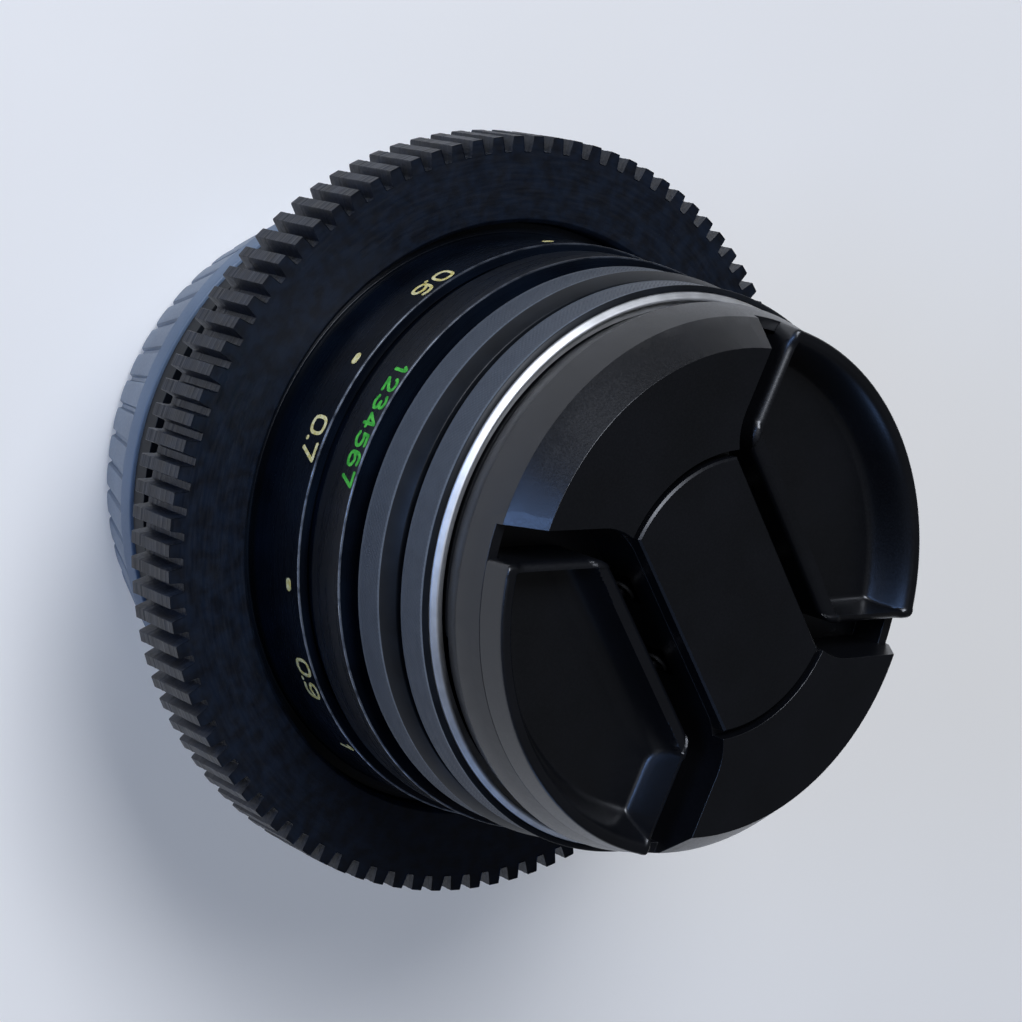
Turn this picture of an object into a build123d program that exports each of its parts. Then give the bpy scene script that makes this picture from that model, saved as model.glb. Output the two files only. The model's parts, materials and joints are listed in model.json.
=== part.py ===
"""A 58 mm standard prime lens: a bayonet mount, an aperture ring with its iris, a helicoid focus
ring that wears a follow-focus gear, a step-up ring, a screw-in filter, a pinch front cap and a
rear cap.

+Z is the optical axis, towards the front. The lens stands on the back of its rear cap, and +X is
the way one of the front cap's two levers points. Sizes are in millimetres.
"""

import os
from math import atan2, cos, degrees, hypot, radians, sin, sqrt

from build123d import *

os.makedirs("parts", exist_ok=True)

# Clearances on the radius, and the gaps that part neighbouring faces
RUNNING = 0.05
SLIDE_FIT = 0.10
SEAT_GAP = 0.2
RING_GAP = 0.3

# Optical block: the bore that holds the cells, the helicoid sleeve and the front barrel
CELL_BORE_R = 22.1
HELICOID_WALL = 2.1
FOCUS_TRAVEL = 9.0
FRONT_SKIRT_WALL = 0.9
FRONT_BAND_RISE = 0.7
FRONT_BAND_WIDTH = 4.8
FRONT_BAND_GAP = 1.45
LENS_THREAD_RISE = 2.4
LENS_THREAD_DEPTH = 3.2
NOSE_WALL = 1.8
NOSE_LENGTH = 2.2

# Key that stops the helicoid sleeve from turning
KEY_WIDTH = 4.0
KEY_ENGAGEMENT = 3.0
KEY_ANGLE = 90.0

# Focus ring, its lock screws and the gear on it
FOCUS_TUBE_WALL = 3.1
FOCUS_GRIP_RISE = 1.15
FOCUS_GRIP_WIDTH = 5.6
FOCUS_WEB = 4.1
SLEEVE_WALL = 1.1
SLEEVE_COVER = 0.25
LOCK_SCREWS = 3
LOCK_SCREW_R = 1.0
LOCK_SCREW_PHASE = 30.0
LOCK_GROOVE_DEPTH = 0.7
GEAR_TEETH = 98
GEAR_MODULE = 0.8
GEAR_TOOTH_DEPTH = 1.6
GEAR_WIDTH = 7.35
GEAR_OVERHANG = 2.0
GEAR_TIP_SHARE = 0.36
GEAR_ROOT_SHARE = 0.34
GEAR_PHASE = -131.1
GEAR_BORE_CHAMFER = 0.35

# Fixed barrel
BOSS_HEIGHT = 1.6
BOSS_SPAN = 14.0
WEB_THICK = 1.6
BARREL_WALL = 1.05
INDEX_BAND_RISE = 2.3
INDEX_BAND_WIDTH = 4.2

# Aperture ring, its click ball and its fork
APERTURE_RING_WIDTH = 7.5
APERTURE_RING_WALL = 2.35
APERTURE_GRIP_DEPTH = 0.5
APERTURE_GRIP_LANDS = 30
APERTURE_TURN = 60.0
FORK_WIDTH = 3.6
FORK_THICK = 0.8
CLICK_BALL_R = 0.7
CLICK_ANGLE = 200.0
CLICK_GROOVE = 0.35

# Bayonet mount: a flange, a throat tube and three lugs
FLANGE_RISE = 0.7
FLANGE_THICK = 2.2
THROAT_RISE = 1.4
THROAT_WALL = 1.7
THROAT_LENGTH = 5.0
LUG_REACH = 1.8
LUG_THICK = 1.5
LUG_DROP = 2.6
LUG_COUNT = 3
LUG_SPAN = 56.0
MOUNT_SCREWS = 3
MOUNT_SCREW_SHANK_R = 0.8
MOUNT_SCREW_HEAD_R = 1.4
MOUNT_SCREW_HEAD = 0.9
MOUNT_SCREW_SLOT = 0.4
MOUNT_SCREW_PHASE = 60.0

# Rear cap
REAR_CAP_HEIGHT = 13.4
REAR_CAP_FLOOR = 2.0
REAR_CAP_BAND = 1.9
REAR_CAP_RIM_WALL = 4.6
REAR_CAP_BACK_WALL = 1.8
REAR_CAP_WELL_GAP = 1.0
REAR_CAP_EDGE = 1.0
REAR_CAP_FLUTES = 57
REAR_CAP_FLUTE_WIDTH = 0.9
REAR_CAP_FLUTE_DEPTH = 0.5
REAR_CAP_FLUTE_PHASE = -80.0
CAP_LUG_THICK = 1.2

# Step-up ring and filter
STEP_UP = 1.5
STEP_STUB_WALL = 1.05
STEP_WALL = 2.6
STEP_KNURL_WIDTH = 3.65
STEP_CHAMFER = 0.8
STEP_FRONT_WIDTH = 1.6
STEP_THREAD_DEPTH = 3.0
FILTER_WALL = 2.0
FILTER_STUB_DEPTH = 2.0
FILTER_NECK_WALL = 0.9
FILTER_NECK = 1.0
FILTER_KNURL_WIDTH = 3.55
FILTER_RIM_WIDTH = 0.3
GLASS_INSET = 0.9
GLASS_LIP = 0.9
GLASS_THICK = 1.8
SILVER_WALL = 1.4
SILVER_CHAMFER = 0.7
SILVER_INSET = 0.3
SILVER_PROUD = 0.45
SILVER_THICK = 1.1

# Front cap: body, centre plate, two pinch levers and their springs. Its radii are rises over the
# filter thread's radius.
FOOT_HEIGHT = 0.8
CAP_BASE_RISE = 0.3
CAP_WAIST_RISE = 0.9
CAP_WAIST_HEIGHT = 2.2
CAP_BAND_HEIGHT = 3.3
CAP_FACE_INSET = 2.5
CAP_BEVEL_HEIGHT = 3.4
CAP_BACK_PLATE = 1.1
CAP_SPIGOT_WALL = 1.2
CAP_SPIGOT_DEPTH = 2.0
PLATE_R = 13.3
PLATE_THICK = 1.6
PLATE_GROOVE = 0.7
PLATE_CHAMFER = 0.2
LEVER_INNER = 9.75
LEVER_HALF_LENGTH = 11.4
LEVER_FLARE = 34.0
LEVER_CORNER = 3.0
LEVER_RIM_DROP = 1.15
LEVER_RIM_TAPER = 0.35
LEVER_RIDGE_DROP = 1.9
LEVER_RIDGE_WIDTH = 2.4
LEVER_WALL = 1.2
LEVER_FLOOR = 1.9
LEVER_BEVEL = 0.7
LEVER_BEVEL_START = 31.0
DISH_WALL = 0.8
DISH_LIP = 0.45
DISH_LENGTH = 6.8
SKIRT_DROP = 0.65
LEVER_PLAY = 0.8
PINCH_TRAVEL = 2.3
CLAW_HEIGHT = 1.3
CLAW_STEM_GAP = 0.5
CLAW_STEM_THICK = 1.2
CLAW_SPAN = 40.0
CLAW_WINDOW_PLAY = 4.0
SPRING_R = 1.1
SPRING_WIRE_R = 0.22
SPRING_SIDE = 4.4
GUIDE_PIN_R = 0.6
GUIDE_PIN_SPACE = 1.45

# Optics: each element's centre thickness, surface radii, edge radius and gap to the next one
# outwards from the iris. A positive surface radius bulges to the front.
FRONT_DOUBLET_R = 15.5
FRONT_CEMENT_CURVE = 200.0
REAR_DOUBLET_R = 13.5
REAR_CEMENT_CURVE = -200.0
ELEMENTS = {
    "front_doublet_flint": dict(
        thick=1.4, front=FRONT_CEMENT_CURVE, back=18.0, edge_r=FRONT_DOUBLET_R, gap=0.0
    ),
    "front_doublet_crown": dict(
        thick=4.8, front=30.0, back=FRONT_CEMENT_CURVE, edge_r=FRONT_DOUBLET_R, gap=0.4
    ),
    "front_element": dict(thick=4.6, front=38.0, back=130.0, edge_r=17.2, gap=0.0),
    "rear_doublet_flint": dict(
        thick=1.4, front=-17.0, back=REAR_CEMENT_CURVE, edge_r=REAR_DOUBLET_R, gap=0.0
    ),
    "rear_doublet_crown": dict(
        thick=4.8, front=REAR_CEMENT_CURVE, back=-24.0, edge_r=REAR_DOUBLET_R, gap=1.0
    ),
    "rear_element": dict(thick=3.6, front=120.0, back=-42.0, edge_r=12.8, gap=0.0),
}
HOLLOW_R = 10.8
CELL_WALL = 1.0
RETAINER_THICK = 1.0
RETAINER_LAP = 0.9
FRONT_RETAINER_DEPTH = 1.0
FRONT_RETAINER_HEIGHT = 2.8

# Iris: housing, six blades, the cam ring and its drive rod
IRIS_FLOOR = 0.8
IRIS_WALL = 0.8
IRIS_OPEN_R = 11.2
IRIS_BLADES = 6
BLADE_THICK = 0.22
BLADE_PITCH = 0.32
BLADE_SPAN = 108.0
BLADE_SWING = 29.0
BLADE_EAR_R = 0.75
BLADE_PIN_R = 0.35
BLADE_RIM_GAP = 1.3
BLADE_DRIVE_INSET = 0.1
BLADE_DRIVE_ANGLE = 10.5
PIVOT_INSET = 0.8
CAM_THICK = 0.7
CAM_LAP = 1.4
CAM_SLOT_STEPS = 8
CAM_EAR_SPAN = 3.0
ROD_R = 0.6

# Radii of the barrel, from the cells outwards
cell_r = CELL_BORE_R - SLIDE_FIT
helicoid_r = CELL_BORE_R + HELICOID_WALL
focus_bore_r = helicoid_r + SLIDE_FIT
focus_tube_r = focus_bore_r + FOCUS_TUBE_WALL
lock_groove_r = focus_tube_r - LOCK_GROOVE_DEPTH
front_skirt_bore_r = focus_tube_r + RING_GAP
front_skirt_r = front_skirt_bore_r + FRONT_SKIRT_WALL
front_band_r = front_skirt_r + FRONT_BAND_RISE
sleeve_bore_r = front_skirt_r + SEAT_GAP
sleeve_r = sleeve_bore_r + SLEEVE_WALL
focus_grip_r = sleeve_r + FOCUS_GRIP_RISE
barrel_bore_r = focus_tube_r + RUNNING
barrel_r = barrel_bore_r + BARREL_WALL
index_band_r = barrel_r + INDEX_BAND_RISE
ring_bore_r = barrel_r + RUNNING
aperture_ring_r = ring_bore_r + APERTURE_RING_WALL
web_bore_r = CELL_BORE_R + SEAT_GAP

# Radii of the mount and the rear cap
throat_bore_r = CELL_BORE_R + THROAT_RISE
throat_r = throat_bore_r + THROAT_WALL
lug_r = throat_r + LUG_REACH
flange_r = aperture_ring_r + FLANGE_RISE
boss_inner_r = throat_r - SEAT_GAP
mount_screw_r = (boss_inner_r + barrel_bore_r) / 2
cap_cavity_r = lug_r + RING_GAP
cap_lug_r = throat_r + RING_GAP
rear_cap_rim_r = cap_cavity_r + REAR_CAP_RIM_WALL
rear_cap_well_r = throat_r + REAR_CAP_WELL_GAP
rear_cap_back_r = rear_cap_well_r + REAR_CAP_BACK_WALL

# Radii of the add-on rings and the front cap
lens_thread_r = CELL_BORE_R + LENS_THREAD_RISE
nose_r = lens_thread_r + NOSE_WALL
filter_thread_r = lens_thread_r + STEP_UP
step_r = filter_thread_r + STEP_WALL
step_bore_r = lens_thread_r - RUNNING - STEP_STUB_WALL
filter_r = filter_thread_r + FILTER_WALL
filter_neck_r = filter_thread_r + FILTER_NECK_WALL
glass_r = filter_thread_r - GLASS_INSET
filter_bore_r = glass_r - GLASS_LIP
silver_r = filter_thread_r + SILVER_WALL
silver_bore_r = filter_thread_r - SILVER_INSET
foot_r = filter_thread_r - RUNNING
cap_base_r = filter_thread_r + CAP_BASE_RISE
cap_waist_r = filter_thread_r + CAP_WAIST_RISE
cap_face_r = filter_thread_r - CAP_FACE_INSET
cap_spigot_r = silver_bore_r - SEAT_GAP
cap_spigot_bore_r = cap_spigot_r - CAP_SPIGOT_WALL
lever_gap = RING_GAP
lever_r = cap_base_r
skirt_bore_r = lever_r - LEVER_WALL
lever_slot = PINCH_TRAVEL + LEVER_PLAY
plate_half_width = LEVER_INNER - lever_slot - RUNNING

# Radii of the iris
iris_wall_bore_r = cell_r - IRIS_WALL
rod_orbit_r = iris_wall_bore_r - SEAT_GAP - ROD_R
rear_cell_r = rod_orbit_r - ROD_R - RING_GAP
cam_r = rear_cell_r
cam_bore_r = IRIS_OPEN_R + CAM_LAP
blade_pivot_r = cam_r - PIVOT_INSET
blade_drive_r = blade_pivot_r - BLADE_DRIVE_INSET
blade_outer_r = blade_pivot_r - BLADE_RIM_GAP

# Heights of the seats, from the back of the rear cap forwards
seat_z = REAR_CAP_HEIGHT + SEAT_GAP
barrel_z = seat_z + FLANGE_THICK
web_z = barrel_z + BOSS_HEIGHT
web_top_z = web_z + WEB_THICK
aperture_ring_z = barrel_z + RING_GAP
index_band_z = aperture_ring_z + APERTURE_RING_WIDTH + RING_GAP
index_top_z = index_band_z + INDEX_BAND_WIDTH
grip_z = index_top_z + RING_GAP
grip_top_z = grip_z + FOCUS_GRIP_WIDTH
sleeve_top_z = grip_top_z + FOCUS_TRAVEL + SLEEVE_COVER
gear_top_z = grip_top_z + GEAR_OVERHANG
gear_z = gear_top_z - GEAR_WIDTH
front_band_z = sleeve_top_z + FRONT_BAND_GAP
front_band_top_z = front_band_z + FRONT_BAND_WIDTH
nose_top_z = front_band_top_z + NOSE_LENGTH
step_knurl_top_z = nose_top_z + STEP_KNURL_WIDTH
step_top_z = step_knurl_top_z + STEP_FRONT_WIDTH
filter_z = step_top_z + FILTER_NECK
filter_knurl_top_z = filter_z + FILTER_KNURL_WIDTH
filter_top_z = filter_knurl_top_z + FILTER_RIM_WIDTH
silver_top_z = filter_top_z + SILVER_PROUD
silver_z = silver_top_z - SILVER_THICK
cap_base_z = silver_top_z + FOOT_HEIGHT
cap_waist_z = cap_base_z + CAP_WAIST_HEIGHT
cap_shoulder_z = cap_waist_z + CAP_BAND_HEIGHT
cap_face_z = cap_shoulder_z + CAP_BEVEL_HEIGHT
front_skirt_z = grip_z + FOCUS_WEB + 2 * RING_GAP
helicoid_z = web_top_z + 2 * RING_GAP
helicoid_top_z = front_band_z + FRONT_BAND_GAP
front_cell_top_z = nose_top_z - LENS_THREAD_DEPTH


def sag(curve, radius):
    """Height of a spherical surface over its own vertex, at a radius from the axis."""
    depth = abs(curve) - sqrt(curve * curve - radius * radius)
    return -depth if curve > 0 else depth


# Heights of the elements' back vertices over the iris's floor, and the iris's own height
iris_rise = IRIS_FLOOR + 2 * SEAT_GAP + IRIS_BLADES * BLADE_PITCH + CAM_THICK + RING_GAP
element_back = {}
rise = iris_rise + CELL_WALL - sag(ELEMENTS["front_doublet_flint"]["back"], HOLLOW_R)
for name in ("front_doublet_flint", "front_doublet_crown", "front_element"):
    element_back[name] = rise
    rise += ELEMENTS[name]["thick"] + ELEMENTS[name]["gap"]
rise = -RUNNING - sag(ELEMENTS["rear_doublet_flint"]["front"], HOLLOW_R)
for name in ("rear_doublet_flint", "rear_doublet_crown", "rear_element"):
    rise -= ELEMENTS[name]["thick"]
    element_back[name] = rise
    rise -= ELEMENTS[name]["gap"]
front_spec = ELEMENTS["front_element"]
front_r = front_spec["edge_r"] + RUNNING
front_edge_rise = (
    element_back["front_element"] + front_spec["thick"] + sag(front_spec["front"], front_r)
)
retainer_seat_rise = front_edge_rise + 2 * RETAINER_LAP + SEAT_GAP / 2
retainer_top_z = front_cell_top_z - FRONT_RETAINER_DEPTH
iris_z = retainer_top_z - FRONT_RETAINER_HEIGHT - retainer_seat_rise
iris_blade_z = iris_z + IRIS_FLOOR + SEAT_GAP
cam_z = iris_blade_z + IRIS_BLADES * BLADE_PITCH + SEAT_GAP
iris_top_z = iris_z + iris_rise


def section(*points):
    """A closed outline of (radius, height) corners, standing in the XZ plane."""
    with BuildSketch(Plane.XZ) as outline:
        with BuildLine():
            Polyline(*points, close=True)
        make_face()
    return outline.sketch


def flat(points):
    """A closed outline of (x, y) corners, lying in the XY plane."""
    with BuildSketch() as outline:
        with BuildLine():
            Polyline(*points, close=True)
        make_face()
    return outline.sketch


def polar(radius, angle):
    """The (x, y) point at a radius and an angle in degrees."""
    return (radius * cos(radians(angle)), radius * sin(radians(angle)))


def sector(inner_r, outer_r, start, span):
    """A ring sector from the start angle over the span, both in degrees, lying in the XY plane."""
    middle = start + span / 2
    with BuildSketch() as outline:
        with BuildLine():
            outer = ThreePointArc(
                polar(outer_r, start), polar(outer_r, middle), polar(outer_r, start + span)
            )
            inner = ThreePointArc(
                polar(inner_r, start), polar(inner_r, middle), polar(inner_r, start + span)
            )
            Line(outer @ 0, inner @ 0)
            Line(outer @ 1, inner @ 1)
        make_face()
    return outline.sketch


def lift(sketch, height, thick, mode=Mode.ADD):
    """Extrudes an outline that lies in the XY plane, from the given height up."""
    extrude(Plane.XY.offset(height) * sketch, amount=thick, mode=mode)


def facing(angle, height, distance):
    """A plane that faces outwards at an angle, at a height and at a distance from the axis."""
    outwards = Vector(cos(radians(angle)), sin(radians(angle)), 0)
    return Plane(
        origin=outwards * distance + Vector(0, 0, height),
        x_dir=(-sin(radians(angle)), cos(radians(angle)), 0),
        z_dir=outwards,
    )


def write(piece, name):
    """Labels a finished piece and writes it as its own file."""
    piece.part.label = name
    export_step(piece.part, f"parts/{name}.step")


# Rear cap: a tapered fluted cup with a plain front band and three inward lugs
cap_lug_z = seat_z - LUG_DROP + LUG_THICK / 2 + RING_GAP
cap_cavity_z = seat_z - THROAT_LENGTH - RING_GAP
flute = extrude(
    section(
        (rear_cap_back_r - REAR_CAP_FLUTE_DEPTH, -REAR_CAP_EDGE),
        (rear_cap_rim_r - REAR_CAP_FLUTE_DEPTH, REAR_CAP_HEIGHT - REAR_CAP_BAND - REAR_CAP_EDGE),
        (rear_cap_rim_r + REAR_CAP_FLUTE_DEPTH, REAR_CAP_HEIGHT - REAR_CAP_BAND),
        (rear_cap_rim_r + REAR_CAP_FLUTE_DEPTH, -REAR_CAP_EDGE),
    ),
    amount=REAR_CAP_FLUTE_WIDTH / 2,
    both=True,
)
with BuildPart() as rear_cap:
    revolve(
        section(
            (0, 0),
            (rear_cap_back_r - REAR_CAP_EDGE, 0),
            (rear_cap_back_r, REAR_CAP_EDGE),
            (rear_cap_rim_r, REAR_CAP_HEIGHT - REAR_CAP_BAND),
            (rear_cap_rim_r, REAR_CAP_HEIGHT),
            (cap_cavity_r, REAR_CAP_HEIGHT),
            (cap_cavity_r, cap_cavity_z),
            (rear_cap_well_r, cap_cavity_z),
            (rear_cap_well_r, REAR_CAP_FLOOR),
            (0, REAR_CAP_FLOOR),
        ),
        axis=Axis.Z,
    )
    with PolarLocations(0, REAR_CAP_FLUTES, start_angle=REAR_CAP_FLUTE_PHASE):
        add(flute, mode=Mode.SUBTRACT)
    for lug in range(LUG_COUNT):
        start = lug * 360 / LUG_COUNT - LUG_SPAN / 2
        lift(
            sector(cap_lug_r, cap_cavity_r + REAR_CAP_BAND, start, LUG_SPAN),
            cap_lug_z,
            CAP_LUG_THICK,
        )
write(rear_cap, "rear_cap")

# Bayonet mount, screwed to the barrel from behind
mount_screw_angles = [MOUNT_SCREW_PHASE + k * 360 / MOUNT_SCREWS for k in range(MOUNT_SCREWS)]
with BuildPart() as bayonet_mount:
    revolve(
        section(
            (throat_bore_r, seat_z - THROAT_LENGTH),
            (throat_r, seat_z - THROAT_LENGTH),
            (throat_r, seat_z),
            (flange_r, seat_z),
            (flange_r, barrel_z),
            (throat_bore_r, barrel_z),
        ),
        axis=Axis.Z,
    )
    for lug in range(LUG_COUNT):
        start = lug * 360 / LUG_COUNT - LUG_SPAN / 2
        lift(
            sector(throat_r - SEAT_GAP, lug_r, start, LUG_SPAN),
            seat_z - LUG_DROP - LUG_THICK / 2,
            LUG_THICK,
        )
    for angle in mount_screw_angles:
        with Locations((*polar(mount_screw_r, angle), seat_z)):
            Cylinder(
                MOUNT_SCREW_HEAD_R + RUNNING,
                MOUNT_SCREW_HEAD,
                align=(Align.CENTER, Align.CENTER, Align.MIN),
                mode=Mode.SUBTRACT,
            )
            Cylinder(MOUNT_SCREW_SHANK_R + RUNNING, 3 * FLANGE_THICK, mode=Mode.SUBTRACT)
write(bayonet_mount, "bayonet_mount")

mount_screw_length = FLANGE_THICK + BOSS_HEIGHT + WEB_THICK - RING_GAP
with BuildPart() as mount_screws:
    for angle in mount_screw_angles:
        with Locations((*polar(mount_screw_r, angle), seat_z)):
            Cylinder(
                MOUNT_SCREW_HEAD_R, MOUNT_SCREW_HEAD, align=(Align.CENTER, Align.CENTER, Align.MIN)
            )
            Cylinder(
                MOUNT_SCREW_SHANK_R,
                mount_screw_length,
                align=(Align.CENTER, Align.CENTER, Align.MIN),
            )
            Box(2 * MOUNT_SCREW_HEAD_R, MOUNT_SCREW_SLOT, MOUNT_SCREW_HEAD, mode=Mode.SUBTRACT)
write(mount_screws, "mount_screws")

# Fixed barrel: bosses on the mount, a web, the skirt and the band that carries the index
click_z = aperture_ring_z + APERTURE_RING_WIDTH / 2
lock_z = index_band_z + INDEX_BAND_WIDTH / 2
lock_angles = [LOCK_SCREW_PHASE + k * 360 / LOCK_SCREWS for k in range(LOCK_SCREWS)]
boss_pitch = 360 / MOUNT_SCREWS
with BuildPart() as main_barrel:
    revolve(
        section(
            (boss_inner_r, barrel_z),
            (barrel_r, barrel_z),
            (barrel_r, index_band_z),
            (index_band_r, index_band_z),
            (index_band_r, index_top_z),
            (barrel_bore_r, index_top_z),
            (barrel_bore_r, web_top_z),
            (web_bore_r, web_top_z),
            (web_bore_r, web_z),
            (boss_inner_r, web_z),
        ),
        axis=Axis.Z,
    )
    for angle in mount_screw_angles:
        lift(
            sector(web_bore_r, index_band_r, angle + BOSS_SPAN / 2, boss_pitch - BOSS_SPAN),
            barrel_z - RING_GAP,
            BOSS_HEIGHT + RING_GAP,
            mode=Mode.SUBTRACT,
        )
        with Locations((*polar(mount_screw_r, angle), web_z)):
            Cylinder(MOUNT_SCREW_SHANK_R + RUNNING, 4 * WEB_THICK, mode=Mode.SUBTRACT)
    for angle in lock_angles:
        with BuildSketch(facing(angle, lock_z, barrel_bore_r - RING_GAP)):
            Circle(LOCK_SCREW_R + RUNNING)
        extrude(amount=index_band_r - barrel_bore_r + 2 * RING_GAP, mode=Mode.SUBTRACT)
    with BuildSketch(facing(CLICK_ANGLE, click_z, barrel_bore_r - RING_GAP)):
        Circle(CLICK_BALL_R + RUNNING)
    extrude(amount=barrel_r - barrel_bore_r + 2 * RING_GAP, mode=Mode.SUBTRACT)
write(main_barrel, "main_barrel")

with BuildPart() as click_ball:
    with Locations((*polar(barrel_r + CLICK_GROOVE - CLICK_BALL_R - RUNNING, CLICK_ANGLE), click_z)):
        Sphere(CLICK_BALL_R)
write(click_ball, "click_ball")

with BuildPart() as focus_lock_screws:
    for angle in lock_angles:
        with BuildSketch(facing(angle, lock_z, lock_groove_r + SEAT_GAP)):
            Circle(LOCK_SCREW_R)
        extrude(amount=index_band_r - RING_GAP - lock_groove_r - SEAT_GAP)
write(focus_lock_screws, "focus_lock_screws")

# Aperture ring: a grip half with lands, a plain half for the numbers, and the fork inside
grip_half_z = aperture_ring_z + APERTURE_RING_WIDTH / 2
with BuildPart() as aperture_ring:
    revolve(
        section(
            (ring_bore_r, aperture_ring_z),
            (aperture_ring_r, aperture_ring_z),
            (aperture_ring_r, grip_half_z),
            (aperture_ring_r - APERTURE_GRIP_DEPTH, grip_half_z + APERTURE_GRIP_DEPTH),
            (aperture_ring_r - APERTURE_GRIP_DEPTH, aperture_ring_z + APERTURE_RING_WIDTH),
            (ring_bore_r, aperture_ring_z + APERTURE_RING_WIDTH),
            (ring_bore_r, click_z + CLICK_BALL_R),
            (ring_bore_r + CLICK_GROOVE, click_z + CLICK_BALL_R),
            (ring_bore_r + CLICK_GROOVE, click_z - CLICK_BALL_R),
            (ring_bore_r, click_z - CLICK_BALL_R),
        ),
        axis=Axis.Z,
    )
    land_pitch = 360 / APERTURE_GRIP_LANDS
    for land in range(APERTURE_GRIP_LANDS):
        lift(
            sector(
                aperture_ring_r - APERTURE_GRIP_DEPTH,
                aperture_ring_r + APERTURE_GRIP_DEPTH,
                land * land_pitch,
                land_pitch / 3,
            ),
            aperture_ring_z - RING_GAP,
            APERTURE_RING_WIDTH / 2,
            mode=Mode.SUBTRACT,
        )
write(aperture_ring, "aperture_ring")

fork_z = barrel_z + (BOSS_HEIGHT - FORK_THICK) / 2
fork_reach_r = rear_cell_r + RING_GAP
rod_angle = MOUNT_SCREW_PHASE + 1.5 * boss_pitch - APERTURE_TURN / 2
with BuildPart() as aperture_fork:
    with BuildSketch(Plane.XY.offset(fork_z)) as fork:
        with Locations((ring_bore_r, 0)):
            Rectangle(2 * (ring_bore_r - fork_reach_r), FORK_WIDTH)
        with Locations((rod_orbit_r, 0)):
            Circle(ROD_R + RUNNING, mode=Mode.SUBTRACT)
        with Locations((fork_reach_r, 0)):
            Rectangle(
                2 * (rod_orbit_r - fork_reach_r), 2 * (ROD_R + RUNNING), mode=Mode.SUBTRACT
            )
        Circle(ring_bore_r, mode=Mode.INTERSECT)
    extrude(amount=FORK_THICK)
aperture_fork.part = aperture_fork.part.rotate(Axis.Z, rod_angle)
write(aperture_fork, "aperture_fork")

# Focus ring: an inner tube with the helicoid bore, a grip and a thin scale sleeve
with BuildPart() as focus_ring:
    revolve(
        section(
            (focus_bore_r, helicoid_z),
            (focus_tube_r, helicoid_z),
            (focus_tube_r, lock_z - LOCK_SCREW_R - SEAT_GAP),
            (lock_groove_r, lock_z - LOCK_SCREW_R - SEAT_GAP),
            (lock_groove_r, lock_z + LOCK_SCREW_R + SEAT_GAP),
            (focus_tube_r, lock_z + LOCK_SCREW_R + SEAT_GAP),
            (focus_tube_r, grip_z),
            (focus_grip_r, grip_z),
            (focus_grip_r, grip_top_z),
            (sleeve_r, grip_top_z),
            (sleeve_r, sleeve_top_z),
            (sleeve_bore_r, sleeve_top_z),
            (sleeve_bore_r, grip_z + FOCUS_WEB),
            (focus_tube_r, grip_z + FOCUS_WEB),
            (focus_tube_r, sleeve_top_z - RING_GAP),
            (focus_bore_r, sleeve_top_z - RING_GAP),
        ),
        axis=Axis.Z,
    )
write(focus_ring, "focus_ring")

# Follow-focus gear: straight teeth of one module, pushed on to the focus ring's grip
gear_tip_r = GEAR_MODULE * (GEAR_TEETH + 2) / 2
gear_root_r = gear_tip_r - GEAR_TOOTH_DEPTH
gear_bore_r = focus_grip_r + RUNNING
tooth_pitch = 360 / GEAR_TEETH
tooth_corners = []
for tooth in range(GEAR_TEETH):
    centre = GEAR_PHASE + tooth * tooth_pitch
    tooth_corners += [
        polar(gear_root_r, centre - tooth_pitch * (1 - GEAR_ROOT_SHARE) / 2),
        polar(gear_tip_r, centre - tooth_pitch * GEAR_TIP_SHARE / 2),
        polar(gear_tip_r, centre + tooth_pitch * GEAR_TIP_SHARE / 2),
        polar(gear_root_r, centre + tooth_pitch * (1 - GEAR_ROOT_SHARE) / 2),
    ]
with BuildPart() as focus_gear:
    lift(flat(tooth_corners), gear_z, GEAR_WIDTH)
    revolve(
        section(
            (0, gear_z - RING_GAP),
            (gear_bore_r, gear_z - RING_GAP),
            (gear_bore_r, gear_top_z - GEAR_BORE_CHAMFER),
            (gear_bore_r + 2 * GEAR_BORE_CHAMFER, gear_top_z + GEAR_BORE_CHAMFER),
            (0, gear_top_z + GEAR_BORE_CHAMFER),
        ),
        axis=Axis.Z,
        mode=Mode.SUBTRACT,
    )
write(focus_gear, "focus_gear")

# Helicoid sleeve: carries the optics, and slides on a fixed key as the focus ring turns
key_bore_r = web_bore_r + RUNNING
key_r = helicoid_r - SEAT_GAP - RUNNING
key_length = FOCUS_TRAVEL + KEY_ENGAGEMENT
with BuildPart() as helicoid_sleeve:
    with BuildSketch(Plane.XY.offset(helicoid_z)):
        Circle(helicoid_r)
        Circle(CELL_BORE_R, mode=Mode.SUBTRACT)
    extrude(amount=helicoid_top_z - helicoid_z)
    with Locations(Location((0, 0, helicoid_z - RING_GAP), (0, 0, KEY_ANGLE))):
        Box(
            helicoid_r + RING_GAP,
            KEY_WIDTH + 2 * SLIDE_FIT,
            key_length + 3 * RING_GAP,
            align=(Align.MIN, Align.CENTER, Align.MIN),
            mode=Mode.SUBTRACT,
        )
write(helicoid_sleeve, "helicoid_sleeve")

with BuildPart() as focus_key:
    with BuildSketch(Plane.XY.offset(web_top_z)):
        add(sector(key_bore_r, key_r, KEY_ANGLE - 10, 20))
        with Locations(Location((0, 0, 0), (0, 0, KEY_ANGLE))):
            with Locations((key_r, 0)):
                Rectangle(4 * HELICOID_WALL, KEY_WIDTH, mode=Mode.INTERSECT)
    extrude(amount=key_length)
write(focus_key, "focus_key")

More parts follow.
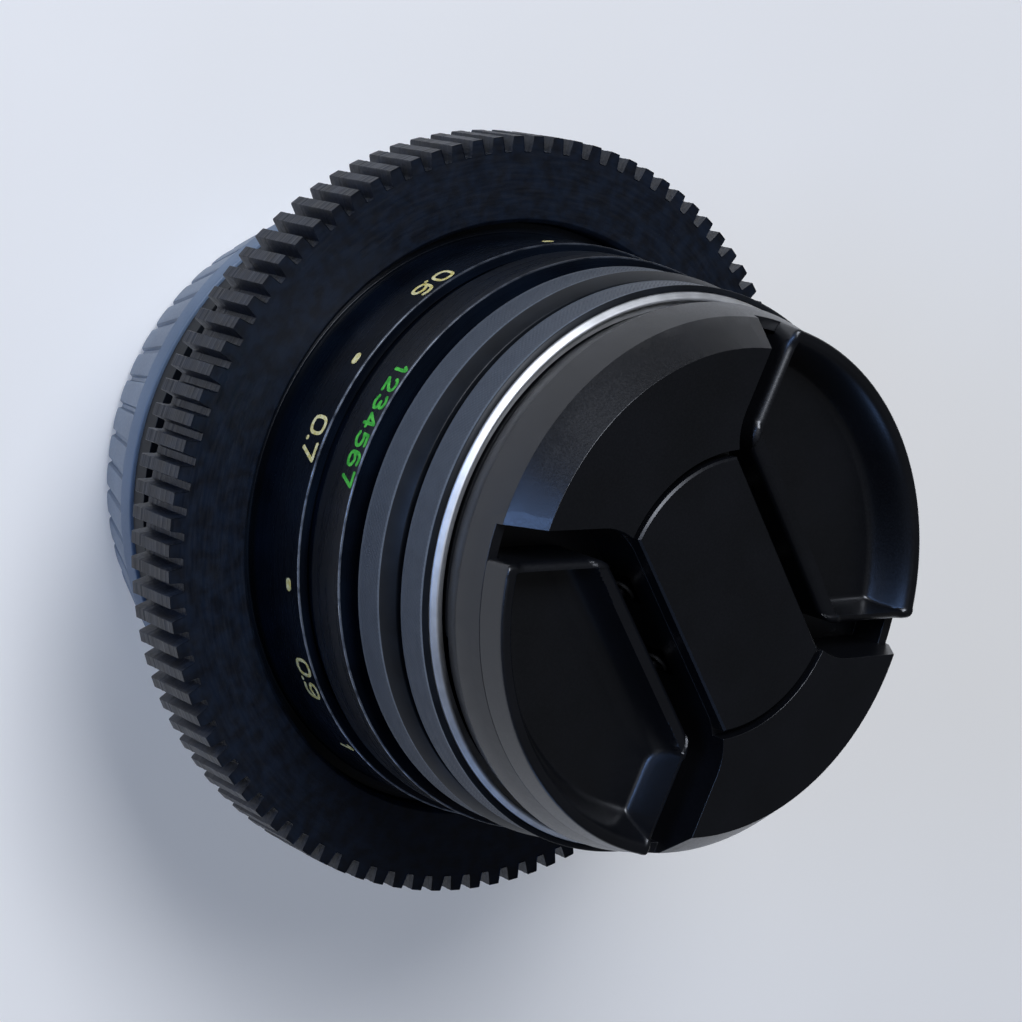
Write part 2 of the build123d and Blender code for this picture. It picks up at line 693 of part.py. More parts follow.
# Front barrel: a band, a skirt that hides the gap as the lens extends, and a threaded nose
with BuildPart() as front_barrel:
    revolve(
        section(
            (front_skirt_bore_r, front_skirt_z),
            (front_skirt_r, front_skirt_z),
            (front_skirt_r, front_band_z),
            (front_band_r, front_band_z),
            (front_band_r, front_band_top_z),
            (nose_r, front_band_top_z),
            (nose_r, nose_top_z),
            (lens_thread_r, nose_top_z),
            (lens_thread_r, nose_top_z - LENS_THREAD_DEPTH),
            (CELL_BORE_R, nose_top_z - LENS_THREAD_DEPTH),
            (CELL_BORE_R, helicoid_top_z),
            (front_skirt_bore_r, helicoid_top_z),
        ),
        axis=Axis.Z,
    )
write(front_barrel, "front_barrel")

# Step-up ring: a male thread for the lens, a female thread for the filter
with BuildPart() as step_up_ring:
    revolve(
        section(
            (step_bore_r, nose_top_z - LENS_THREAD_DEPTH + RING_GAP),
            (lens_thread_r - RUNNING, nose_top_z - LENS_THREAD_DEPTH + RING_GAP),
            (lens_thread_r - RUNNING, nose_top_z),
            (step_r, nose_top_z),
            (step_r, step_knurl_top_z),
            (step_r - STEP_CHAMFER, step_top_z),
            (filter_thread_r, step_top_z),
            (filter_thread_r, step_top_z - STEP_THREAD_DEPTH),
            (step_bore_r, step_top_z - STEP_THREAD_DEPTH),
        ),
        axis=Axis.Z,
    )
write(step_up_ring, "step_up_ring")

# Screw-in filter: its ring, its glass and the bare metal ring at its front
glass_z = step_top_z - FILTER_STUB_DEPTH + GLASS_LIP
with BuildPart() as filter_ring:
    revolve(
        section(
            (filter_bore_r, step_top_z - FILTER_STUB_DEPTH),
            (filter_thread_r - RUNNING, step_top_z - FILTER_STUB_DEPTH),
            (filter_thread_r - RUNNING, step_top_z),
            (filter_neck_r, step_top_z),
            (filter_neck_r, filter_z),
            (filter_r, filter_z),
            (filter_r, filter_knurl_top_z),
            (silver_r + RUNNING, filter_top_z),
            (silver_r + RUNNING, silver_z),
            (filter_thread_r, silver_z),
            (filter_thread_r, glass_z + GLASS_THICK + SEAT_GAP),
            (glass_r + RUNNING, glass_z + GLASS_THICK + SEAT_GAP),
            (glass_r + RUNNING, glass_z),
            (filter_bore_r, glass_z),
        ),
        axis=Axis.Z,
    )
write(filter_ring, "filter_ring")

with BuildPart() as filter_retaining_ring:
    with BuildSketch(Plane.XY.offset(glass_z + GLASS_THICK + SEAT_GAP)):
        Circle(filter_thread_r - RUNNING)
        Circle(filter_bore_r, mode=Mode.SUBTRACT)
    extrude(amount=RETAINER_THICK)
write(filter_retaining_ring, "filter_retaining_ring")

with BuildPart() as filter_glass:
    with BuildSketch(Plane.XY.offset(glass_z)):
        Circle(glass_r)
    extrude(amount=GLASS_THICK)
    chamfer(filter_glass.edges(), SEAT_GAP)
write(filter_glass, "filter_glass")

with BuildPart() as filter_front_ring:
    revolve(
        section(
            (silver_bore_r, silver_z),
            (silver_r, silver_z),
            (silver_r, filter_top_z + SEAT_GAP),
            (silver_r - SILVER_CHAMFER, silver_top_z),
            (silver_bore_r, silver_top_z),
        ),
        axis=Axis.Z,
    )
write(filter_front_ring, "filter_front_ring")


# Lens elements, cells and retainers
def front_height(name, radius):
    """Height of an element's front surface at a radius."""
    spec = ELEMENTS[name]
    return iris_z + element_back[name] + spec["thick"] + sag(spec["front"], radius)


def back_height(name, radius):
    """Height of an element's back surface at a radius."""
    return iris_z + element_back[name] + sag(ELEMENTS[name]["back"], radius)


def glass_section(name, front_reach, back_reach):
    """A lens element's half section, with its curved faces out to the two reaches."""
    edge = ELEMENTS[name]["edge_r"]
    front_edge = front_height(name, front_reach)
    back_edge = back_height(name, back_reach)
    with BuildSketch(Plane.XZ) as outline:
        with BuildLine():
            ThreePointArc(
                (0, front_height(name, 0)),
                (front_reach / 2, front_height(name, front_reach / 2)),
                (front_reach, front_edge),
            )
            ThreePointArc(
                (0, back_height(name, 0)),
                (back_reach / 2, back_height(name, back_reach / 2)),
                (back_reach, back_edge),
            )
            if front_reach < edge:
                Line((front_reach, front_edge), (edge, front_edge))
            if back_reach < edge:
                Line((back_reach, back_edge), (edge, back_edge))
            Line((edge, front_edge), (edge, back_edge))
            Line((0, back_height(name, 0)), (0, front_height(name, 0)))
        make_face()
    return outline.sketch


front_reach = {name: spec["edge_r"] for name, spec in ELEMENTS.items()}
front_reach["rear_doublet_flint"] = HOLLOW_R
back_reach = {name: spec["edge_r"] for name, spec in ELEMENTS.items()}
back_reach["front_doublet_flint"] = HOLLOW_R
for name in ELEMENTS:
    with BuildPart() as element:
        revolve(glass_section(name, front_reach[name], back_reach[name]), axis=Axis.Z)
    write(element, name)

# The front cell holds the front element and the front doublet, one behind the other
front_doublet_r = FRONT_DOUBLET_R + RUNNING
front_retainer_r = cell_r - IRIS_WALL - RUNNING
front_edge_top = front_height("front_element", front_r)
retainer_seat_z = iris_z + retainer_seat_rise
front_back_edge = back_height("front_element", front_r)
front_doublet_back = back_height("front_doublet_flint", HOLLOW_R)
with BuildPart() as front_cell:
    revolve(
        section(
            (HOLLOW_R + CELL_WALL / 2, front_doublet_back),
            (HOLLOW_R + CELL_WALL / 2, iris_top_z),
            (cell_r, iris_top_z),
            (cell_r, front_cell_top_z),
            (front_retainer_r + RUNNING, front_cell_top_z),
            (front_retainer_r + RUNNING, front_edge_top + 2 * RETAINER_LAP),
            (front_r, front_edge_top + 2 * RETAINER_LAP),
            (front_r, front_back_edge),
            (front_doublet_r, front_back_edge),
            (front_doublet_r, front_doublet_back),
        ),
        axis=Axis.Z,
    )
write(front_cell, "front_cell")

spacer_r = front_doublet_r - SLIDE_FIT
spacer_bore_r = spacer_r - 2 * CELL_WALL
with BuildPart() as front_group_spacer:
    revolve(
        section(
            (spacer_r, front_height("front_doublet_crown", spacer_r) + SEAT_GAP / 2),
            (spacer_r, front_back_edge),
            (spacer_bore_r, front_back_edge),
            (spacer_bore_r, front_height("front_doublet_crown", spacer_bore_r) + SEAT_GAP / 2),
        ),
        axis=Axis.Z,
    )
write(front_group_spacer, "front_group_spacer")

with BuildPart() as front_retaining_ring:
    revolve(
        section(
            (
                front_r - RETAINER_LAP,
                front_height("front_element", front_r - RETAINER_LAP) + SEAT_GAP / 2,
            ),
            (front_r - RUNNING, front_edge_top + SEAT_GAP / 2),
            (front_r - RUNNING, retainer_seat_z),
            (front_retainer_r, retainer_seat_z),
            (front_retainer_r, retainer_top_z),
            (front_r - RETAINER_LAP, front_edge_top + 2 * RETAINER_LAP),
        ),
        axis=Axis.Z,
    )
write(front_retaining_ring, "front_retaining_ring")

# The rear cell holds the rear doublet and the rear element under a retaining ring
rear_doublet_r = REAR_DOUBLET_R + RUNNING
rear_r = ELEMENTS["rear_element"]["edge_r"] + RUNNING
rear_land_r = rear_r - 2 * RETAINER_LAP
rear_back_edge = back_height("rear_element", rear_r)
rear_cell_z = rear_back_edge - 2 * RETAINER_THICK
with BuildPart() as rear_cell:
    revolve(
        section(
            (rear_r, rear_cell_z),
            (rear_cell_r - 2 * CELL_WALL, rear_cell_z),
            (rear_cell_r, rear_cell_z + 2 * CELL_WALL),
            (rear_cell_r, iris_z),
            (rear_doublet_r, iris_z),
            (
                rear_doublet_r,
                back_height("rear_doublet_crown", rear_doublet_r) - SEAT_GAP / 2,
            ),
            (rear_land_r, back_height("rear_doublet_crown", rear_land_r) - SEAT_GAP / 2),
            (rear_land_r, front_height("rear_element", rear_land_r) + SEAT_GAP / 2),
            (rear_r, front_height("rear_element", rear_land_r) + SEAT_GAP / 2),
        ),
        axis=Axis.Z,
    )
write(rear_cell, "rear_cell")

with BuildPart() as rear_retaining_ring:
    revolve(
        section(
            (rear_land_r, rear_cell_z + SEAT_GAP),
            (rear_r - RUNNING, rear_cell_z + SEAT_GAP),
            (rear_r - RUNNING, rear_back_edge - SEAT_GAP / 2),
            (rear_land_r, back_height("rear_element", rear_land_r) - SEAT_GAP / 2),
        ),
        axis=Axis.Z,
    )
write(rear_retaining_ring, "rear_retaining_ring")

# Iris: each blade lies at a height of its own, so that none meets its neighbours
blade_angles = [k * 360 / IRIS_BLADES for k in range(IRIS_BLADES)]
rod_window_margin = degrees(2 * ROD_R / rod_orbit_r)
with BuildPart() as iris_housing:
    revolve(
        section(
            (IRIS_OPEN_R - RING_GAP, iris_z),
            (cell_r, iris_z),
            (cell_r, iris_top_z),
            (iris_wall_bore_r, iris_top_z),
            (iris_wall_bore_r, iris_z + IRIS_FLOOR),
            (IRIS_OPEN_R - RING_GAP, iris_z + IRIS_FLOOR),
        ),
        axis=Axis.Z,
    )
    lift(
        sector(
            rod_orbit_r - ROD_R - SLIDE_FIT,
            rod_orbit_r + ROD_R + SLIDE_FIT,
            rod_angle - rod_window_margin,
            APERTURE_TURN + 2 * rod_window_margin,
        ),
        iris_z - RING_GAP,
        IRIS_FLOOR + 2 * RING_GAP,
        mode=Mode.SUBTRACT,
    )
    for angle in blade_angles:
        with Locations((*polar(blade_pivot_r, angle), iris_z)):
            Cylinder(BLADE_PIN_R + RUNNING, 4 * IRIS_FLOOR, mode=Mode.SUBTRACT)
write(iris_housing, "iris_housing")

ear_span = degrees(BLADE_EAR_R / blade_pivot_r)
for number, angle in enumerate(blade_angles):
    blade_z = iris_blade_z + number * BLADE_PITCH
    pivot = polar(blade_pivot_r, angle)
    drive = polar(blade_drive_r, angle + BLADE_DRIVE_ANGLE)
    with BuildPart() as iris_blade:
        with BuildSketch(Plane.XY.offset(blade_z)):
            add(sector(IRIS_OPEN_R, blade_outer_r, angle - ear_span, BLADE_SPAN))
            add(
                sector(
                    IRIS_OPEN_R,
                    blade_pivot_r,
                    angle - ear_span,
                    BLADE_DRIVE_ANGLE + 2 * ear_span,
                )
            )
            with Locations(pivot, drive):
                Circle(BLADE_EAR_R)
        extrude(amount=BLADE_THICK)
        with BuildSketch(Plane.XY.offset(iris_z + SEAT_GAP)):
            with Locations(pivot):
                Circle(BLADE_PIN_R)
        extrude(amount=blade_z - iris_z - SEAT_GAP + BLADE_THICK / 2)
        with BuildSketch(Plane.XY.offset(blade_z + BLADE_THICK / 2)):
            with Locations(drive):
                Circle(BLADE_PIN_R)
        extrude(amount=cam_z + CAM_THICK - blade_z - BLADE_THICK / 2)
    write(iris_blade, f"iris_blade_{number + 1}")


def cam_slot_point(share):
    """Where the first blade's drive pin stands in the cam ring, at a share of the ring's turn."""
    offset_x = blade_drive_r * cos(radians(BLADE_DRIVE_ANGLE)) - blade_pivot_r
    offset_y = blade_drive_r * sin(radians(BLADE_DRIVE_ANGLE))
    swing = degrees(atan2(offset_y, offset_x)) + share * BLADE_SWING
    arm = hypot(offset_x, offset_y)
    x = blade_pivot_r + arm * cos(radians(swing))
    y = arm * sin(radians(swing))
    return polar(hypot(x, y), degrees(atan2(y, x)) - share * APERTURE_TURN)


cam_slot = [cam_slot_point(step / CAM_SLOT_STEPS) for step in range(CAM_SLOT_STEPS + 1)]
slot_half_width = BLADE_PIN_R + SLIDE_FIT
with BuildPart() as iris_cam_ring:
    with BuildSketch(Plane.XY.offset(cam_z)):
        Circle(cam_r)
        with Locations(polar(rod_orbit_r, rod_angle)):
            Circle(ROD_R)
        add(sector(cam_r - CELL_WALL, rod_orbit_r, rod_angle - CAM_EAR_SPAN / 2, CAM_EAR_SPAN))
        Circle(cam_bore_r, mode=Mode.SUBTRACT)
        with PolarLocations(0, IRIS_BLADES):
            for start, end in zip(cam_slot[:-1], cam_slot[1:]):
                middle = ((start[0] + end[0]) / 2, (start[1] + end[1]) / 2)
                bearing = degrees(atan2(end[1] - start[1], end[0] - start[0]))
                length = hypot(end[0] - start[0], end[1] - start[1])
                with Locations(Location((*middle, 0), (0, 0, bearing))):
                    SlotCenterToCenter(length, 2 * slot_half_width, mode=Mode.SUBTRACT)
    extrude(amount=CAM_THICK)
write(iris_cam_ring, "iris_cam_ring")

rod_z = fork_z - FOCUS_TRAVEL - RING_GAP
with BuildPart() as iris_drive_rod:
    with BuildSketch(Plane.XY.offset(rod_z)):
        with Locations(polar(rod_orbit_r, rod_angle)):
            Circle(ROD_R)
    extrude(amount=cam_z - rod_z)
write(iris_drive_rod, "iris_drive_rod")


# Front cap
def lever_outline(grow):
    """The front cap lever's outline on the +X side, its inner and flared edges grown outwards."""
    flare = radians(LEVER_FLARE)
    inner = LEVER_INNER - grow
    corner = LEVER_HALF_LENGTH + grow * (1 - sin(flare)) / cos(flare)
    reach = 2 * lever_r
    half = corner + (reach - inner) * sin(flare) / cos(flare)
    with BuildSketch() as outline:
        add(flat([(inner, -corner), (inner, corner), (reach, half), (reach, -half)]))
        fillet(outline.vertices().group_by(Axis.X)[0], LEVER_CORNER + grow)
    return outline.sketch


lever_top_z = cap_face_z - LEVER_RIM_DROP
ridge_top_z = cap_face_z - LEVER_RIDGE_DROP
lever_z = cap_base_z + CAP_BACK_PLATE + SEAT_GAP
skirt_top_z = cap_shoulder_z - SKIRT_DROP
lever_wall_z = skirt_top_z + RUNNING
band_taper = (cap_waist_r - filter_thread_r) / CAP_BAND_HEIGHT
lever_wall_r = filter_thread_r + band_taper * SKIRT_DROP
lever_rim_r = lever_wall_r - LEVER_RIM_TAPER
dish_low_r = skirt_bore_r - lever_gap - DISH_WALL
dish_top_r = lever_rim_r - LEVER_WALL
dish_z = lever_z + LEVER_FLOOR
ridge_x = LEVER_INNER + LEVER_RIDGE_WIDTH
recess_z = cap_face_z - PLATE_THICK
spring_z = lever_z + SPRING_R + SPRING_WIRE_R + SEAT_GAP
claw_top_z = cap_base_z - SEAT_GAP
claw_stem_r = skirt_bore_r - CLAW_STEM_GAP
claw_inner_r = claw_stem_r - CLAW_STEM_THICK
window_r = claw_inner_r - PINCH_TRAVEL - RING_GAP
window_span = CLAW_SPAN + 2 * CLAW_WINDOW_PLAY
guide_pin_length = LEVER_INNER - PINCH_TRAVEL - GUIDE_PIN_SPACE

with BuildPart() as cap_body:
    revolve(
        section(
            (cap_spigot_bore_r, silver_top_z - CAP_SPIGOT_DEPTH),
            (cap_spigot_r, silver_top_z - CAP_SPIGOT_DEPTH),
            (cap_spigot_r, silver_top_z),
            (foot_r, silver_top_z),
            (foot_r, cap_base_z),
            (cap_base_r, cap_base_z),
            (cap_waist_r, cap_waist_z),
            (filter_thread_r, cap_shoulder_z),
            (cap_face_r, cap_face_z),
            (0, cap_face_z),
            (0, cap_base_z),
            (cap_spigot_bore_r, cap_base_z),
        ),
        axis=Axis.Z,
    )
    for turn in (0, 180):
        bay = lever_outline(lever_slot).rotate(Axis.Z, turn)
        with BuildSketch(Plane.XY.offset(lever_z - SEAT_GAP)):
            add(bay)
            Circle(skirt_bore_r, mode=Mode.INTERSECT)
        extrude(amount=cap_face_z, mode=Mode.SUBTRACT)
        lift(bay, skirt_top_z, cap_face_z, mode=Mode.SUBTRACT)
        window_start = turn - window_span / 2
        lift(
            sector(window_r, cap_waist_r, window_start, window_span),
            silver_top_z - CAP_SPIGOT_DEPTH - RING_GAP,
            CAP_SPIGOT_DEPTH + RING_GAP + FOOT_HEIGHT,
            mode=Mode.SUBTRACT,
        )
        lift(
            sector(window_r, skirt_bore_r, window_start, window_span),
            cap_base_z - RING_GAP,
            CAP_BACK_PLATE + SEAT_GAP + RING_GAP,
            mode=Mode.SUBTRACT,
        )
    with BuildSketch(Plane.XY.offset(recess_z)):
        Circle(PLATE_R + PLATE_GROOVE)
    extrude(amount=PLATE_THICK + RING_GAP, mode=Mode.SUBTRACT)
    with BuildSketch(Plane.XY.offset(lever_z)):
        for side in (-1, 1):
            with Locations((0, side * SPRING_SIDE)):
                Rectangle(
                    2 * (LEVER_INNER + RING_GAP), 2 * (SPRING_R + SPRING_WIRE_R + SEAT_GAP)
                )
    extrude(amount=2 * (SPRING_R + SPRING_WIRE_R + SEAT_GAP), mode=Mode.SUBTRACT)
write(cap_body, "cap_body")

with BuildPart() as cap_centre_plate:
    with BuildSketch(Plane.XY.offset(recess_z)):
        Circle(PLATE_R)
        Rectangle(2 * plate_half_width, 2 * PLATE_R, mode=Mode.INTERSECT)
    extrude(amount=PLATE_THICK)
    chamfer(cap_centre_plate.faces().sort_by(Axis.Z)[-1].edges(), PLATE_CHAMFER)
write(cap_centre_plate, "cap_centre_plate")

# The finger dish in a lever: steep at the ridge bar, then flat out to the rim
with BuildPart() as dish:
    with BuildSketch(Plane.XY.offset(lever_z)):
        add(lever_outline(-LEVER_WALL))
    extrude(amount=cap_face_z - lever_z)
    revolve(
        section(
            (0, dish_z),
            (dish_low_r, dish_z),
            (dish_top_r, lever_top_z),
            (dish_top_r, cap_face_z),
            (0, cap_face_z),
        ),
        axis=Axis.Z,
        mode=Mode.INTERSECT,
    )
    with BuildSketch(Plane.XZ):
        with BuildLine():
            EllipticalCenterArc(
                (ridge_x + DISH_LENGTH, ridge_top_z - DISH_LIP),
                DISH_LENGTH,
                ridge_top_z - DISH_LIP - dish_z,
                start_angle=180,
                arc_size=90,
            )
            Polyline(
                (ridge_x + DISH_LENGTH, dish_z),
                (lever_r, dish_z),
                (lever_r, cap_face_z),
                (ridge_x, cap_face_z),
                (ridge_x, ridge_top_z - DISH_LIP),
            )
        make_face()
    extrude(amount=lever_r, both=True, mode=Mode.INTERSECT)

for name, turn in (("cap_lever_left", 0), ("cap_lever_right", 180)):
    with BuildPart() as cap_lever:
        with BuildSketch(Plane.XY.offset(lever_z)):
            add(lever_outline(0))
            Circle(skirt_bore_r - lever_gap, mode=Mode.INTERSECT)
        extrude(amount=lever_wall_z - lever_z)
        with BuildSketch(Plane.XY.offset(lever_wall_z)):
            add(lever_outline(0))
            Circle(lever_r, mode=Mode.INTERSECT)
        extrude(amount=lever_top_z - lever_wall_z)
        revolve(
            section(
                (0, lever_z),
                (lever_wall_r, lever_z),
                (lever_wall_r, lever_wall_z),
                (lever_rim_r, lever_top_z),
                (0, lever_top_z),
            ),
            axis=Axis.Z,
            mode=Mode.INTERSECT,
        )
        add(dish, mode=Mode.SUBTRACT)
        with BuildSketch(Plane.XZ) as ridge_cut:
            with BuildLine():
                Polyline(
                    (0, ridge_top_z),
                    (ridge_x, ridge_top_z),
                    (lever_r - 3 * LEVER_WALL, lever_top_z),
                    (lever_r - 3 * LEVER_WALL, cap_face_z + 1),
                    (0, cap_face_z + 1),
                    close=True,
                )
            make_face()
        extrude(amount=lever_r, both=True, mode=Mode.SUBTRACT)
        for side in (-1, 1):
            bevel_start = LEVER_BEVEL_START if side > 0 else -90
            with BuildPart(mode=Mode.PRIVATE) as bevel:
                revolve(
                    section(
                        (lever_rim_r - LEVER_BEVEL, lever_top_z),
                        (lever_wall_r, lever_top_z - LEVER_BEVEL),
                        (lever_r, lever_top_z - LEVER_BEVEL),
                        (lever_r, lever_top_z),
                    ),
                    axis=Axis.Z,
                )
                with BuildSketch(Plane.XY.offset(lever_z)):
                    add(sector(cap_face_r / 2, lever_r + LEVER_WALL, bevel_start, 90 - LEVER_BEVEL_START))
                extrude(amount=cap_face_z, mode=Mode.INTERSECT)
            add(bevel, mode=Mode.SUBTRACT)
        lift(
            sector(claw_inner_r, cap_spigot_r, -CLAW_SPAN / 2, CLAW_SPAN),
            claw_top_z - CLAW_HEIGHT,
            CLAW_HEIGHT,
        )
        lift(
            sector(claw_inner_r, claw_stem_r, -CLAW_SPAN / 2, CLAW_SPAN),
            claw_top_z,
            lever_z + LEVER_FLOOR / 2 - claw_top_z,
        )
        with BuildSketch(Plane.YZ.offset(LEVER_INNER - guide_pin_length)):
            with Locations((-SPRING_SIDE, spring_z), (SPRING_SIDE, spring_z)):
                Circle(GUIDE_PIN_R)
        extrude(amount=guide_pin_length + RING_GAP)
    cap_lever.part = cap_lever.part.rotate(Axis.Z, turn)
    write(cap_lever, name)

# Two springs lie across the cap on the levers' guide pins, as long as they are when pinched
spring_length = 2 * (LEVER_INNER - PINCH_TRAVEL - SEAT_GAP)
with BuildPart() as cap_springs:
    with BuildSketch(Plane.YZ.offset(-spring_length / 2)):
        for side in (-1, 1):
            with Locations((side * SPRING_SIDE, spring_z)):
                Circle(SPRING_R + SPRING_WIRE_R)
                Circle(SPRING_R - SPRING_WIRE_R, mode=Mode.SUBTRACT)
    extrude(amount=spring_length)
write(cap_springs, "cap_springs")
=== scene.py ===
"""Looks of the standard prime lens with its follow-focus gear, add-on rings and caps.

The lens stands on its rear cap with the optical axis along +Z. Profiles are in millimetres, as
(radius, height) corners, and each mesh is in metres.
"""

import json

import bmesh
import bpy
import numpy as np
from mathutils import Matrix, Vector

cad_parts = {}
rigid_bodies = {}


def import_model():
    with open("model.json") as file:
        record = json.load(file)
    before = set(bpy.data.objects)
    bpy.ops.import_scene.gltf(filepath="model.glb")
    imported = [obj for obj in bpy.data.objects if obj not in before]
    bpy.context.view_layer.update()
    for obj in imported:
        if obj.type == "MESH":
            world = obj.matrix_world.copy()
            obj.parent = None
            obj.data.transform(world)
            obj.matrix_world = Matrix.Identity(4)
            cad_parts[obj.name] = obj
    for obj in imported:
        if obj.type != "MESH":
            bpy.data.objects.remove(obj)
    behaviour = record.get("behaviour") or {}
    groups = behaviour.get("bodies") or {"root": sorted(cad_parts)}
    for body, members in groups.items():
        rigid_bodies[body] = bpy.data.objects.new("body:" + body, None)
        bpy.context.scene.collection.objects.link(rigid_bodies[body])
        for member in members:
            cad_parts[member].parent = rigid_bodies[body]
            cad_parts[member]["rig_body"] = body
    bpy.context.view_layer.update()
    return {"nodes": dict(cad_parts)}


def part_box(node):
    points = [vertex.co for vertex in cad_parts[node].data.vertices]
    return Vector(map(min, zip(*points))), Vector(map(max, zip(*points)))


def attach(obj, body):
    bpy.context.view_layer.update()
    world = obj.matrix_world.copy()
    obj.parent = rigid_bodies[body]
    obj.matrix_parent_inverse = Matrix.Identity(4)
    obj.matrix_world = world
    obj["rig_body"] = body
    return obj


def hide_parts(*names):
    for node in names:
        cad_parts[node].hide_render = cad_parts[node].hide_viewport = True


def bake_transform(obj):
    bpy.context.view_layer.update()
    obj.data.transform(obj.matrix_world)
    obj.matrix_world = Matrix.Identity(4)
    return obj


MM = 0.001
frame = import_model()
nodes = frame["nodes"]
scene = bpy.context.scene


# Materials
def linear(hex_colour):
    """The linear RGBA of an sRGB hex colour."""
    srgb = np.array([int(hex_colour[k : k + 2], 16) for k in (1, 3, 5)]) / 255
    rgb = np.where(srgb <= 0.04045, srgb / 12.92, ((srgb + 0.055) / 1.055) ** 2.4)
    return (*rgb.tolist(), 1.0)


def node(tree, kind, settings=None, inputs=None, out=0):
    """Adds a node with its settings; an input that is a socket is linked. Returns an output."""
    made = tree.nodes.new(kind)
    for name, value in (settings or {}).items():
        setattr(made, name, value)
    for name, value in (inputs or {}).items():
        if isinstance(value, bpy.types.NodeSocket):
            tree.links.new(value, made.inputs[name])
        else:
            made.inputs[name].default_value = value
    return made.outputs[out]


# The noise values between which a finish drifts; how wide the chips in rubbed paint are, in
# millimetres, and how bare they are at most
PATCH_SPREAD = (0.35, 0.65)
LUMP_SPREAD = (0.3, 0.7)
CHIP_SPREAD = (0.35, 0.62)
CHIP_WIDTH = 1.6
CHIP_BARE = 0.9


def finish(name, dark, light, rough, patch, lump, depth, lathe=0.0, bare_metal=None, **sockets):
    """A procedural finish. The colour drifts from dark to light in patches of the given width.
    Lumps of their own width and depth, all in millimetres, catch the light and shift the roughness
    between its two values. With a lathe factor the lumps are drawn out round the axis, the more so
    the smaller it is. With a bare-metal colour and a least share, bare metal shows where the mesh
    attribute of real wear and painted glints is high, in chips between that share and nearly all."""
    material = bpy.data.materials.new(name)
    material.use_nodes = True
    tree = material.node_tree
    shader = tree.nodes["Principled BSDF"]
    for socket, value in sockets.items():
        shader.inputs[socket.replace("_", " ")].default_value = value
    place = node(tree, "ShaderNodeTexCoord", out="Object")
    lump_place = place
    if lathe:
        x, y, z = node(tree, "ShaderNodeSeparateXYZ", {}, {0: place}).node.outputs
        across = node(tree, "ShaderNodeCombineXYZ", {}, {0: x, 1: y})
        radius = node(tree, "ShaderNodeVectorMath", {"operation": "LENGTH"}, {0: across}, 1)
        angle = node(tree, "ShaderNodeMath", {"operation": "ARCTAN2"}, {0: y, 1: x})
        along = node(tree, "ShaderNodeMath", {"operation": "MULTIPLY"}, {0: angle, 1: lathe})
        lump_place = node(tree, "ShaderNodeCombineXYZ", {}, {0: radius, 1: along, 2: z})
    patches = node(tree, "ShaderNodeTexNoise", {}, {"Vector": place, "Scale": 1 / (patch * MM)})
    low, high = PATCH_SPREAD
    drift = node(tree, "ShaderNodeMapRange", {}, {0: patches, 1: low, 2: high})
    colour = node(
        tree,
        "ShaderNodeMix",
        {"data_type": "RGBA"},
        {0: drift, 6: linear(dark), 7: linear(light)},
        2,
    )
    lumps = node(tree, "ShaderNodeTexNoise", {}, {"Vector": lump_place, "Scale": 1 / (lump * MM)})
    low, high = LUMP_SPREAD
    gloss = node(
        tree, "ShaderNodeMapRange", {}, {0: lumps, 1: low, 2: high, 3: rough[0], 4: rough[1]}
    )
    bump = node(tree, "ShaderNodeBump", {}, {"Height": lumps, "Distance": depth * MM})
    if bare_metal:
        wear_and_glint = node(tree, "ShaderNodeAttribute", {"attribute_name": "wear_and_glint"}, out="Fac")
        scale = 1 / (CHIP_WIDTH * MM)
        chips = node(tree, "ShaderNodeTexNoise", {}, {"Vector": place, "Scale": scale})
        low, high = CHIP_SPREAD
        chip = node(
            tree, "ShaderNodeMapRange", {}, {0: chips, 1: low, 2: high, 3: bare_metal[1], 4: CHIP_BARE}
        )
        bare = node(tree, "ShaderNodeMath", {"operation": "MULTIPLY"}, {0: wear_and_glint, 1: chip})
        metal = linear(bare_metal[0])
        colour = node(
            tree, "ShaderNodeMix", {"data_type": "RGBA"}, {0: bare, 6: colour, 7: metal}, 2
        )
        tree.links.new(bare, shader.inputs["Metallic"])
    for value, socket in ((colour, "Base Color"), (gloss, "Roughness"), (bump, "Normal")):
        tree.links.new(value, shader.inputs[socket])
    return material


# Moulded grain and turning rings are drawn coarser than the real ones, 0.12 to 0.4 mm wide, so
# that they show in a picture of the whole lens

# Injection-moulded ABS: satin, from the fine spark-eroded grain of its mould
# Its blue-grey is partly painted light: made lighter and bluer, as the blue sheen of the light on
# it
rear_cap_abs = finish(
    "moulded_abs_rear_cap", "#5C6C7E", "#69798B", (0.42, 0.52), 9, 0.3, 0.006, IOR=1.52
)
# The front cap's mould is polished more, so its edges catch sharp lights
cap_abs = finish(
    "moulded_abs_front_cap", "#06070A", "#0A0B0F", (0.3, 0.38), 7, 0.2, 0.003, IOR=1.62
)
# Black enamel on turned aluminium: glossy, with faint turning rings, rubbed bare at its edges; the
# bare metal there is also painted in as a highlight, most on one side
barrel_enamel = finish(
    "enamel_on_aluminium", "#060A11", "#0A111B", (0.24, 0.34), 6, 0.4, 0.002, 0.0006,
    ("#A4ABB5", 0.1), IOR=1.4,
)
# Aluminium anodised black: satin. On the knurl, bare-metal colour is painted in as the sheen of its
# facets, and fully along its front edge as a glint
black_anodised = finish(
    "black_anodised_aluminium", "#0F1114", "#15181C", (0.34, 0.44), 3.0, 0.12, 0.003, 0.0,
    ("#747D89", 0.8), IOR=1.3,
)
